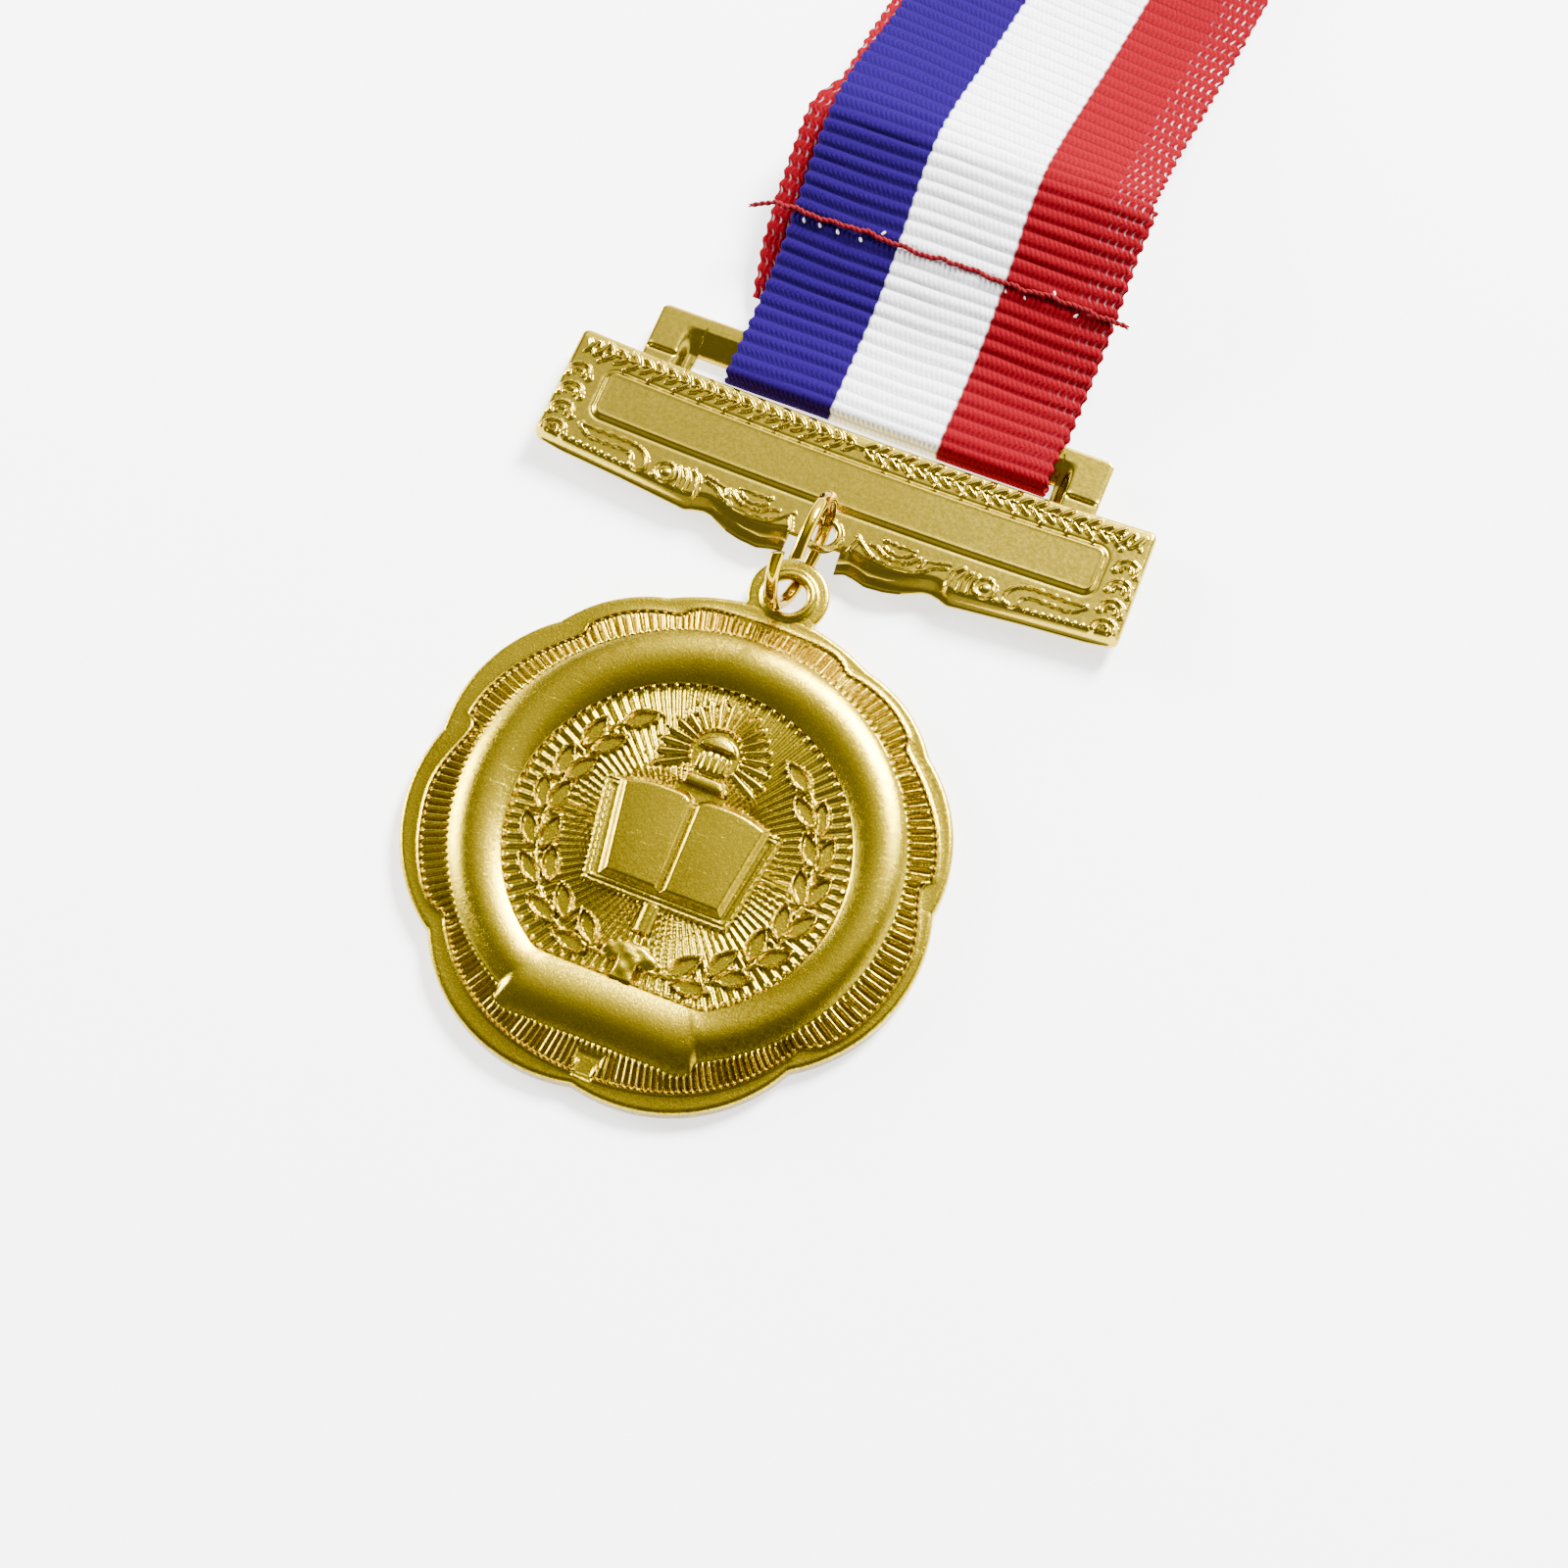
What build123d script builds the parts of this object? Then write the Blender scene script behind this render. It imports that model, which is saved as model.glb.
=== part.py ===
from build123d import *
import math
import os

# Award medal lying flat: a scalloped medallion, an open jump ring, a stamped
# hanger bar with a ribbon slot, and a neck ribbon folded behind it.
# +Z up, X along the bar, +Y from the medallion towards the ribbon, z = 0 the
# surface it lies on. The layout below is drawn with y = 0 at the middle of the
# bar, then moved by SHIFT_Y so that the origin is at the middle of the base.

SHIFT_Y = -45.085

# medallion: one pressed sheet, rim turned down
MED_X, MED_Y = -1.10, -40.00      # centre
MED_SHEET = 0.45                  # sheet thickness
FLANGE_Z = 1.65                   # top of the plain flange
FIELD_Z = 2.10                    # floor of the emblem field
FIELD_R = 16.1                    # radius of the emblem field
CROWN_Z = 2.95                    # top of the convex ring round the field
CROWN_R = 18.6
SHOULDER_R = 21.6                 # where the convex ring meets the rib band
# scalloped outline: angle from the lug in degrees, radius
CUSPS = [(24, 24.9), (48, 25.05), (84, 24.6), (132, 23.9), (180, 24.4)]
PEAKS = [(36, 25.45), (66, 25.65), (107, 25.45), (157, 25.5)]
TOP_PEAK = 25.3

# suspension lug on the medallion
LUG_X, LUG_Y = -0.75, -12.95
LUG_R, LUG_HOLE_R = 3.9, 1.75
LUG_T = 0.45

# open jump ring, standing on edge through the eyelet and the lug
RING_R, WIRE_R = 5.6, 0.50        # centre line radius, wire radius
RING_LOW = 0.53                   # height of the lowest point of the centre line
RING_YAW = 6.0                    # turn of the ring's plane about Z
RING_GAP = 8.0                    # opening, degrees
EYE_Z, LUG_Z = 2.55, 1.425        # heights at which the wire crosses the sheets
EYE_CROSS_Y = -5.70

# hanger bar: stamped sheet, border turned down
BAR_TOP_X, BAR_LOW_X = 29.3, 29.55
BAR_TOP_Y, BAR_TOP_MID_Y = 5.95, 5.20
BAR_EDGE_Z, BAR_Z = 1.40, 2.80
BAR_SHEET = 0.50
PANEL_X, PANEL_RISE = 25.3, 0.30
PANEL_TOP, PANEL_LOW, PANEL_SAG = 2.55, -2.45, 0.75
EYE_Y, EYE_R, EYE_HOLE_R = -6.05, 1.70, 1.22
NOTCH_X = 2.6                     # half width of the gap in the lower wall
BOTTOM = [(29.55, -6.2), (20.4, -7.4), (13.3, -8.05), (12.4, -7.85), (11.3, -7.6),
          (10.4, -7.75), (9.3, -8.2), (7.5, -8.75), (5.5, -9.0), (4.2, -8.7),
          (3.2, -8.6), (1.7, -8.95)]

# slotted ribbon frame, part of the same sheet
FRAME_X, FRAME_Y = 23.4, 11.45
SLOT_X = 18.6
RAIL_TOP_Z, RAIL_T = 2.10, 0.50
RAIL_CREASE_Y, RAIL_LIP_Y, RAIL_LIP_Z = 10.0, 7.9, 0.85

# grosgrain ribbon
RIB_W, RIB_T = 33.0, 0.50
LOOP_X = 1.40
LOOP_Y, LOOP_Z, LOOP_R = 7.40, 1.40, 1.40
LOOP_END = 12.0
RIB_HINGE_Y, RIB_HINGE_Z, RIB_END_R = 13.4, 1.40, 1.20
HUMP_Y, HUMP_Z = 35.0, 8.0
LEAN = 5.0                        # turn of the far part towards +X
HANK_START, HANK_LENGTH = 76.0, 78.0
HANK_LOW, HANK_TOP = 0.42, 5.30
BAND_W, BAND_T = 5.0, 0.40
THREAD_R, THREAD_Y = 0.30, 25.5
THREAD_X0, THREAD_X1 = -19.7, 19.3


def polar(deg, r):
    a = math.radians(deg)
    return (MED_X + r * math.sin(a), MED_Y + r * math.cos(a))


def lobed(inset):
    """The scalloped outline, moved inwards, as arcs from cusp to cusp."""
    cusps = [(-a, r) for a, r in reversed(CUSPS)][1:] + CUSPS
    peaks = [(-a, r) for a, r in reversed(PEAKS)] + [(0, TOP_PEAK)] + PEAKS
    cusps = [(-180, CUSPS[-1][1])] + cusps
    edges = []
    for (a0, r0), (ap, rp), (a1, r1) in zip(cusps[:-1], peaks, cusps[1:]):
        edges.append(
            ThreePointArc(polar(a0, r0 - inset), polar(ap, rp - inset), polar(a1, r1 - inset))
        )
    return make_face(Wire(edges))


def prism(face, z0, z1):
    return extrude(Plane.XY.offset(z0) * face, z1 - z0)


def section(points, x0, x1):
    """A solid with this y, z outline between two x positions."""
    plane = Plane(origin=(x0, 0, 0), x_dir=(0, 1, 0), z_dir=(1, 0, 0))
    return extrude(plane * make_face(Polyline(*points, close=True)), x1 - x0)


def box(x0, x1, y0, y1, z0, z1):
    return Pos((x0 + x1) / 2, (y0 + y1) / 2, (z0 + z1) / 2) * Box(x1 - x0, y1 - y0, z1 - z0)


# ---------------------------------------------------------------- medallion
medallion = prism(lobed(0), 0, FLANGE_Z)
medallion -= prism(lobed(MED_SHEET), -1, FLANGE_Z - MED_SHEET)

outer = Polyline(
    (0, FLANGE_Z - 0.2), (SHOULDER_R, FLANGE_Z - 0.2), (SHOULDER_R, FLANGE_Z + 0.15)
)
arc = ThreePointArc((SHOULDER_R, FLANGE_Z + 0.15), (CROWN_R, CROWN_Z), (FIELD_R, FIELD_Z))
floor = Polyline((FIELD_R, FIELD_Z), (0, FIELD_Z), (0, FLANGE_Z - 0.2))
dome = Pos(MED_X, MED_Y, 0) * revolve(Plane.XZ * make_face(outer + arc + floor), Axis.Z)
medallion += dome
hollow_line = Polyline(
    (0, FLANGE_Z - MED_SHEET - 0.3), (SHOULDER_R - 0.5, FLANGE_Z - MED_SHEET - 0.3),
    (SHOULDER_R - 0.5, FLANGE_Z - MED_SHEET + 0.15),
)
hollow_arc = ThreePointArc(
    (SHOULDER_R - 0.5, FLANGE_Z - MED_SHEET + 0.15),
    (CROWN_R, CROWN_Z - MED_SHEET),
    (FIELD_R + 0.3, FIELD_Z - MED_SHEET),
)
hollow_floor = Polyline(
    (FIELD_R + 0.3, FIELD_Z - MED_SHEET), (0, FIELD_Z - MED_SHEET),
    (0, FLANGE_Z - MED_SHEET - 0.3),
)
medallion -= Pos(MED_X, MED_Y, 0) * revolve(
    Plane.XZ * make_face(hollow_line + hollow_arc + hollow_floor), Axis.Z
)
# lug
lug = Pos(LUG_X, LUG_Y, FLANGE_Z - LUG_T / 2) * Cylinder(LUG_R, LUG_T)
lug += box(LUG_X - 3.2, LUG_X + 3.2, LUG_Y - 2.6, LUG_Y - 2.0, FLANGE_Z - LUG_T, FLANGE_Z)
medallion += lug
medallion -= Pos(LUG_X, LUG_Y, FLANGE_Z) * Cylinder(LUG_HOLE_R, 4)
# emblem: an open book, a torch behind it and a blank banner
BOOK_Y0, BOOK_Y1 = MED_Y - 2.8, MED_Y + 7.0
for s in (-1, 1):
    page = Polyline(
        (MED_X, BOOK_Y0), (MED_X + s * 6.2, BOOK_Y0), (MED_X + s * 7.6, BOOK_Y1 - 1.4),
        (MED_X + s * 2.2, BOOK_Y1), (MED_X, BOOK_Y1 - 1.0), close=True,
    )
    medallion += prism(make_face(page), FIELD_Z - 0.2, FIELD_Z + 0.75)
medallion += prism(Pos(MED_X, MED_Y + 11.0) * Circle(2.1), FIELD_Z - 0.2, FIELD_Z + 0.6)
medallion += box(MED_X - 0.7, MED_X + 0.7, MED_Y - 6.6, MED_Y - 2.8, FIELD_Z - 0.2, FIELD_Z + 0.5)
banner = make_face(
    Polyline(
        (MED_X - 9.6, MED_Y - 12.9), (MED_X + 9.6, MED_Y - 12.9),
        (MED_X + 8.6, MED_Y - 18.4), (MED_X - 8.6, MED_Y - 18.4), close=True,
    )
)
medallion += prism(banner, FIELD_Z - 0.2, CROWN_Z - 0.35)

# ---------------------------------------------------------------- hanger bar
left = [(-x, y) for x, y in BOTTOM]
right = list(reversed(BOTTOM))


def bar_outline(inset):
    top = ThreePointArc(
        (BAR_TOP_X - inset, BAR_TOP_Y - inset),
        (0, BAR_TOP_MID_Y - inset),
        (-(BAR_TOP_X - inset), BAR_TOP_Y - inset),
    )
    low = [(-(BAR_TOP_X - inset), BAR_TOP_Y - inset)]
    low += [(x + (inset if i == 0 else 0), y + inset) for i, (x, y) in enumerate(left)]
    low += [(x - (inset if i == len(right) - 1 else 0), y + inset) for i, (x, y) in enumerate(right)]
    low += [(BAR_TOP_X - inset, BAR_TOP_Y - inset)]
    return make_face(Wire([top] + Polyline(*low).edges()))


bar = prism(bar_outline(0), BAR_EDGE_Z, BAR_Z)
bar -= prism(bar_outline(BAR_SHEET), BAR_EDGE_Z - 1, BAR_Z - BAR_SHEET)
panel = make_face(
    Wire(
        [
            ThreePointArc((PANEL_X, PANEL_TOP), (0, PANEL_TOP - PANEL_SAG), (-PANEL_X, PANEL_TOP)),
            Line((-PANEL_X, PANEL_TOP), (-PANEL_X, PANEL_LOW)),
            ThreePointArc((-PANEL_X, PANEL_LOW), (0, PANEL_LOW - PANEL_SAG), (PANEL_X, PANEL_LOW)),
            Line((PANEL_X, PANEL_LOW), (PANEL_X, PANEL_TOP)),
        ]
    )
)
bar += prism(panel, BAR_Z - 0.2, BAR_Z + PANEL_RISE)
# the lower wall is left open where the jump ring passes behind it
bar -= box(-NOTCH_X - 0.4, NOTCH_X - 0.4, -9.6, -7.45, 0, BAR_Z + 1)
# eyelet
bar += Pos(0, EYE_Y, BAR_Z - 0.25) * Cylinder(EYE_R, 0.5)
bar -= Pos(0, EYE_Y, BAR_Z) * Cylinder(EYE_HOLE_R, 4)

# slotted frame
rail = section(
    [
        (FRAME_Y, RAIL_TOP_Z - RAIL_T), (FRAME_Y, RAIL_TOP_Z), (RAIL_CREASE_Y, RAIL_TOP_Z),
        (RAIL_LIP_Y, RAIL_LIP_Z + 0.45), (RAIL_LIP_Y, RAIL_LIP_Z),
        (RAIL_LIP_Y + 0.55, RAIL_LIP_Z), (RAIL_CREASE_Y + 0.1, RAIL_TOP_Z - RAIL_T),
    ],
    -FRAME_X, FRAME_X,
)
frame = rail
for s in (-1, 1):
    a, b = sorted((s * SLOT_X, s * FRAME_X))
    frame += box(a, b, 5.4, FRAME_Y, RAIL_TOP_Z - RAIL_T, RAIL_TOP_Z)
    frame += box(a, b, 5.2, 6.6, RAIL_TOP_Z - RAIL_T, BAR_Z)
hanger_bar = bar + frame

# ---------------------------------------------------------------- jump ring
ring_z = RING_LOW + RING_R
run_eye = math.sqrt(RING_R**2 - (ring_z - EYE_Z) ** 2)
run_lug = math.sqrt(RING_R**2 - (ring_z - LUG_Z) ** 2)
yaw = math.radians(RING_YAW)
ring_x = -run_eye * math.sin(yaw)
ring_y = EYE_CROSS_Y - run_eye * math.cos(yaw)
lug_cross = (ring_x - run_lug * math.sin(yaw), ring_y - run_lug * math.cos(yaw), LUG_Z)
# local frame: gap up and towards the medallion
torus = Torus(RING_R, WIRE_R, major_angle=360 - RING_GAP)
torus = Rot(0, 0, RING_GAP / 2) * torus          # gap centred on local +X
torus = Rot(0, 0, 90 + 33) * torus                   # gap 33 degrees past local +Y
torus = Plane(origin=(0, 0, 0), x_dir=(0, 1, 0), z_dir=(1, 0, 0)) * torus
jump_ring = Pos(ring_x, ring_y, ring_z) * Rot(0, 0, -RING_YAW) * torus

# ---------------------------------------------------------------- ribbon
x0, x1 = LOOP_X - RIB_W / 2, LOOP_X + RIB_W / 2
yz = Plane(origin=(x0, 0, 0), x_dir=(0, 1, 0), z_dir=(1, 0, 0))
r_in = LOOP_R - RIB_T
loop_face = make_face(
    Wire(
        [
            Line((LOOP_END, LOOP_Z + LOOP_R), (LOOP_Y, LOOP_Z + LOOP_R)),
            ThreePointArc((LOOP_Y, LOOP_Z + LOOP_R), (LOOP_Y - LOOP_R, LOOP_Z), (LOOP_Y, LOOP_Z - LOOP_R)),
            Line((LOOP_Y, LOOP_Z - LOOP_R), (LOOP_END, LOOP_Z - LOOP_R)),
            Line((LOOP_END, LOOP_Z - LOOP_R), (LOOP_END, LOOP_Z - r_in)),
            Line((LOOP_END, LOOP_Z - r_in), (LOOP_Y, LOOP_Z - r_in)),
            ThreePointArc((LOOP_Y, LOOP_Z - r_in), (LOOP_Y - r_in, LOOP_Z), (LOOP_Y, LOOP_Z + r_in)),
            Line((LOOP_Y, LOOP_Z + r_in), (LOOP_END, LOOP_Z + r_in)),
            Line((LOOP_END, LOOP_Z + r_in), (LOOP_END, LOOP_Z + LOOP_R)),
        ]
    )
)
ribbon_loop = extrude(yz * loop_face, RIB_W)

top_line = [
    (RIB_HINGE_Y, RIB_HINGE_Z + RIB_END_R), (17.0, 3.1), (26.0, 5.9), (33.5, HUMP_Z - 0.1),
    (HUMP_Y + 1.0, HUMP_Z),
]
low_line = [
    (HUMP_Y + 1.0, HUMP_Z - 1.2), (33.5, HUMP_Z - 1.8), (26.0, 4.2), (18.0, 1.6),
    (RIB_HINGE_Y, RIB_HINGE_Z - RIB_END_R),
]
near = section(top_line + low_line, LOOP_X - 0.4 - RIB_W / 2, LOOP_X - 0.4 + RIB_W / 2)
near += Pos(LOOP_X - 0.4, RIB_HINGE_Y, RIB_HINGE_Z) * Rot(0, 90, 0) * Cylinder(RIB_END_R, RIB_W)
far_pts = [
    (HUMP_Y - 1.0, HUMP_Z - 0.02), (HUMP_Y + 1.0, HUMP_Z), (46.0, 5.3), (60.0, 2.4),
    (HANK_START + 2, 1.9), (HANK_START + 2, HANK_LOW), (60.0, 1.2), (46.0, 4.1),
    (HUMP_Y + 1.0, HUMP_Z - 1.25), (HUMP_Y - 1.0, HUMP_Z - 1.3),
]
far = section(far_pts, -RIB_W / 2, RIB_W / 2)
hank_mid = (HANK_LOW + HANK_TOP) / 2
hank_r = (HANK_TOP - HANK_LOW) / 2
hank = box(
    -RIB_W / 2, RIB_W / 2, HANK_START + hank_r, HANK_START + HANK_LENGTH - hank_r, HANK_LOW, HANK_TOP
)
for y in (HANK_START + hank_r, HANK_START + HANK_LENGTH - hank_r):
    hank += Pos(0, y, hank_mid) * Rot(0, 90, 0) * Cylinder(hank_r, RIB_W)
lean = Pos(0.6, HUMP_Y, 0) * Rot(0, 0, -LEAN) * Pos(0, -HUMP_Y, 0)
neck_ribbon = near + lean * (far + hank)

gap = 0.03
band_y0 = HANK_START + HANK_LENGTH / 2 - BAND_W / 2
band_outer = box(
    -RIB_W / 2 - gap - BAND_T, RIB_W / 2 + gap + BAND_T, band_y0, band_y0 + BAND_W,
    HANK_LOW - gap - BAND_T + 0.01, HANK_TOP + gap + BAND_T,
)
band_inner = box(
    -RIB_W / 2 - gap, RIB_W / 2 + gap, band_y0 - 1, band_y0 + BAND_W + 1,
    HANK_LOW - gap, HANK_TOP + gap,
)
ribbon_band = lean * (band_outer - band_inner)

thread_z = 3.1 + (THREAD_Y - 17.0) / 9.0 * 2.8 + THREAD_R * 1.06 + 0.02
seam_thread = Pos((THREAD_X0 + THREAD_X1) / 2, THREAD_Y, thread_z) * Rot(0, 90, 0) * Cylinder(
    THREAD_R, THREAD_X1 - THREAD_X0
)

# ---------------------------------------------------------------- write
nodes = {
    "hanger_bar": hanger_bar,
    "jump_ring": jump_ring,
    "medallion": medallion,
    "ribbon_loop": ribbon_loop,
    "neck_ribbon": neck_ribbon,
    "seam_thread": seam_thread,
    "ribbon_band": ribbon_band,
}
os.makedirs("parts", exist_ok=True)
whole = None
for name, shape in nodes.items():
    placed = Pos(0, SHIFT_Y, 0) * shape
    placed.label = name
    export_step(placed, f"parts/{name}.step")
    b = placed.bounding_box()
    whole = b if whole is None else whole.add(b)
    print(f"{name:12s} volume {placed.volume:9.2f}  {b.min.X:.2f} {b.min.Y:.2f} {b.min.Z:.2f}  {b.max.X:.2f} {b.max.Y:.2f} {b.max.Z:.2f}")
print("box", whole.min, whole.max, "centre y", (whole.min.Y + whole.max.Y) / 2)
print("eyelet crossing", (0, EYE_CROSS_Y + SHIFT_Y, EYE_Z))
print("lug crossing", (lug_cross[0], lug_cross[1] + SHIFT_Y, lug_cross[2]))
print("ring axis", (math.cos(yaw), -math.sin(yaw), 0))
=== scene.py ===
import bpy
import math
import numpy as np
from mathutils import Matrix, Vector


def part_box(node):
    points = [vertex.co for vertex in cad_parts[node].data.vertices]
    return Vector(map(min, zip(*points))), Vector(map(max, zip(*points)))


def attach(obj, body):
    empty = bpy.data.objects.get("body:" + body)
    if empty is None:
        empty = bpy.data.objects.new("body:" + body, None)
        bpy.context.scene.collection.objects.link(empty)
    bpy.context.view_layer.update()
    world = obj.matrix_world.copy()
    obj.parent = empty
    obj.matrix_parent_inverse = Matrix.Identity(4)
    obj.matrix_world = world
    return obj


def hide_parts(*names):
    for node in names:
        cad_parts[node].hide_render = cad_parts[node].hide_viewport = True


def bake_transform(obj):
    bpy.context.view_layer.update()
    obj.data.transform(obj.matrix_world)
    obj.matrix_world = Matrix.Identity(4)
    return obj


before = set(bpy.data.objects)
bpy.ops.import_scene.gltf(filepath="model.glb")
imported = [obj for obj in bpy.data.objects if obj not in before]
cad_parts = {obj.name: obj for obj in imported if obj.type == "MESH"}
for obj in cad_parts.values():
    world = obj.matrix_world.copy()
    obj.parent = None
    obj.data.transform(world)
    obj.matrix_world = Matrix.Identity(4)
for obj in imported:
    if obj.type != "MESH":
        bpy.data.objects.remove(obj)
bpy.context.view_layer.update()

MM = 0.001
rng = np.random.default_rng(7)
# layout frame: millimetres, x = 0 and y = 0 at the middle of the bar
bar_lo, bar_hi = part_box("hanger_bar")
BASE_Y = bar_hi.y / MM - 11.45
scene = bpy.context.scene


# ------------------------------------------------------------------ helpers
def sstep(a, b, x):
    t = np.clip((x - a) / (b - a), 0, 1)
    return t * t * (3 - 2 * t)


def make(name, verts, polys, body=None, mats=(), smooth=True, angle=40, mat_index=None):
    """A mesh object from vertices in layout millimetres and a list of face arrays."""
    verts = np.asarray(verts, float)
    me = bpy.data.meshes.new(name)
    co = verts.copy()
    co[:, 1] += BASE_Y
    co *= MM
    polys = [np.asarray(p, int) for p in polys if len(p)]
    count = sum(len(p) for p in polys)
    loops = np.concatenate([p.ravel() for p in polys])
    sizes = np.concatenate([np.full(len(p), p.shape[1]) for p in polys])
    starts = np.concatenate([[0], np.cumsum(sizes)[:-1]])
    me.vertices.add(len(co))
    me.vertices.foreach_set("co", co.astype(np.float32).ravel())
    me.loops.add(len(loops))
    me.loops.foreach_set("vertex_index", loops.astype(np.int32))
    me.polygons.add(count)
    me.polygons.foreach_set("loop_start", starts.astype(np.int32))
    me.polygons.foreach_set("loop_total", sizes.astype(np.int32))
    me.update(calc_edges=True)
    me.validate()
    if smooth:
        me.polygons.foreach_set("use_smooth", np.ones(len(me.polygons), bool))
        if angle:
            me.set_sharp_from_angle(angle=math.radians(angle))
    for m in mats:
        me.materials.append(m)
    if mat_index is not None:
        me.polygons.foreach_set("material_index", np.asarray(mat_index, np.int32))
    me.update()
    ob = bpy.data.objects.new(name, me)
    scene.collection.objects.link(ob)
    if body:
        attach(ob, body)
    return ob


def attribute(ob, name, values):
    a = ob.data.attributes.new(name, "FLOAT", "POINT")
    a.data.foreach_set("value", np.asarray(values, np.float32))


def rows(start, n_rows, n_cols, wrap=True, flip=False):
    """Quads between consecutive rows of vertices."""
    r = np.arange(n_rows - 1)[:, None] * n_cols
    c = np.arange(n_cols if wrap else n_cols - 1)[None, :]
    d = (c + 1) % n_cols
    q = np.stack([r + c, r + d, r + n_cols + d, r + n_cols + c], -1).reshape(-1, 4) + start
    return q[:, ::-1] if flip else q


def halve(outer, inner, flip=False):
    """Joins a loop of 2n vertices (outer) to a loop of n (inner)."""
    n = len(inner)
    k = np.arange(n)
    o0, o1, o2 = outer[2 * k], outer[2 * k + 1], outer[(2 * k + 2) % (2 * n)]
    i0, i1 = inner[k], inner[(k + 1) % n]
    q = np.stack([o0, o1, i0, i0], -1)
    tris = np.concatenate([
        np.stack([o0, o1, i0], -1), np.stack([o1, i1, i0], -1), np.stack([o1, o2, i1], -1)])
    return tris[:, ::-1] if flip else tris


def zipper(a_idx, a_ang, b_idx, b_ang):
    """Triangles between two closed loops, both ordered by rising angle. b is outside a."""
    ia, ib = int(np.argmin(a_ang)), int(np.argmin(b_ang))
    a_idx, a_ang = np.roll(a_idx, -ia), np.roll(a_ang, -ia)
    b_idx, b_ang = np.roll(b_idx, -ib), np.roll(b_ang, -ib)
    na, nb, i, j, out = len(a_idx), len(b_idx), 0, 0, []
    while i < na or j < nb:
        next_a = a_ang[i + 1] if i + 1 < na else a_ang[0] + 2 * math.pi
        next_b = b_ang[j + 1] if j + 1 < nb else b_ang[0] + 2 * math.pi
        if j >= nb or (i < na and next_a <= next_b):
            out.append((a_idx[i % na], a_idx[(i + 1) % na], b_idx[j % nb]))
            i += 1
        else:
            out.append((a_idx[i % na], b_idx[(j + 1) % nb], b_idx[j % nb]))
            j += 1
    return np.array(out)


def loop_of(cells, ny, nx):
    """The boundary of a mask of grid cells, as one ordered loop of vertex indices (row * nx + col)."""
    follow = {}
    pad = np.pad(cells, 1)
    js, iis = np.nonzero(cells)
    for j, i in zip(js, iis):
        a, b, c, d = j * nx + i, j * nx + i + 1, (j + 1) * nx + i + 1, (j + 1) * nx + i
        if not pad[j, i + 1]:
            follow[a] = b
        if not pad[j + 1, i + 2]:
            follow[b] = c
        if not pad[j + 2, i + 1]:
            follow[c] = d
        if not pad[j + 1, i]:
            follow[d] = a
    start = next(iter(follow))
    out, at = [start], follow[start]
    while at != start:
        out.append(at)
        at = follow[at]
    return np.array(out)


def seg_dist(x, y, p, q):
    """Distance to a segment and the share along it."""
    dx, dy = q[0] - p[0], q[1] - p[1]
    t = np.clip(((x - p[0]) * dx + (y - p[1]) * dy) / (dx * dx + dy * dy + 1e-12), 0, 1)
    return np.hypot(x - p[0] - t * dx, y - p[1] - t * dy), t


def stroke(h, x, y, pts, width, rise, taper=0.0):
    """Adds a rounded ridge of that width along a polyline, keeping the higher surface."""
    pts = np.asarray(pts, float)
    m = width + 0.05
    sel = (x > pts[:, 0].min() - m) & (x < pts[:, 0].max() + m) & (y > pts[:, 1].min() - m) & (y < pts[:, 1].max() + m)
    if not sel.any():
        return
    xs, ys = x[sel], y[sel]
    best = np.full(xs.shape, 1e9)
    n = len(pts) - 1
    for k in range(n):
        d, t = seg_dist(xs, ys, pts[k], pts[k + 1])
        s = (k + t) / n
        w = width / 2 * (1 - taper * np.abs(2 * s - 1) ** 2)
        best = np.minimum(best, d / w)
    prof = np.sqrt(np.clip(1 - best**2, 0, 1)) * rise
    h[sel] = np.maximum(h[sel], prof)


def curve(pts, n=8):
    """Catmull-Rom points through these."""
    p = np.asarray(pts, float)
    p = np.vstack([2 * p[0] - p[1], p, 2 * p[-1] - p[-2]])
    out = []
    for k in range(1, len(p) - 2):
        for t in np.linspace(0, 1, n, endpoint=False):
            a, b, c, d = p[k - 1], p[k], p[k + 1], p[k + 2]
            out.append(0.5 * (2 * b + (c - a) * t + (2 * a - 5 * b + 4 * c - d) * t * t + (3 * b - a - 3 * c + d) * t**3))
    out.append(p[-2])
    return np.array(out)


# ------------------------------------------------------------------ materials
def nodes_of(name):
    m = bpy.data.materials.new(name)
    m.use_nodes = True
    t = m.node_tree
    return m, t, t.nodes["Principled BSDF"]


def noise(t, scale, detail=4, rough=0.55, vector=None, stretch=None):
    n = t.nodes.new("ShaderNodeTexNoise")
    n.inputs["Scale"].default_value = scale
    n.inputs["Detail"].default_value = detail
    n.inputs["Roughness"].default_value = rough
    if vector is not None:
        if stretch is not None:
            mp = t.nodes.new("ShaderNodeMapping")
            mp.inputs["Scale"].default_value = stretch[:3]
            if len(stretch) > 3:
                mp.inputs["Rotation"].default_value = (0, 0, stretch[3])
            t.links.new(vector, mp.inputs["Vector"])
            vector = mp.outputs["Vector"]
        t.links.new(vector, n.inputs["Vector"])
    return n.outputs["Fac"]


def ramp(t, fac, stops):
    n = t.nodes.new("ShaderNodeValToRGB")
    el = n.color_ramp.elements
    while len(el) < len(stops):
        el.new(0.5)
    for e, (pos, col) in zip(el, stops):
        e.position = pos
        e.color = (*col, 1) if len(col) == 3 else (col[0], col[0], col[0], 1)
    t.links.new(fac, n.inputs["Fac"])
    return n.outputs["Color"]


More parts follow.
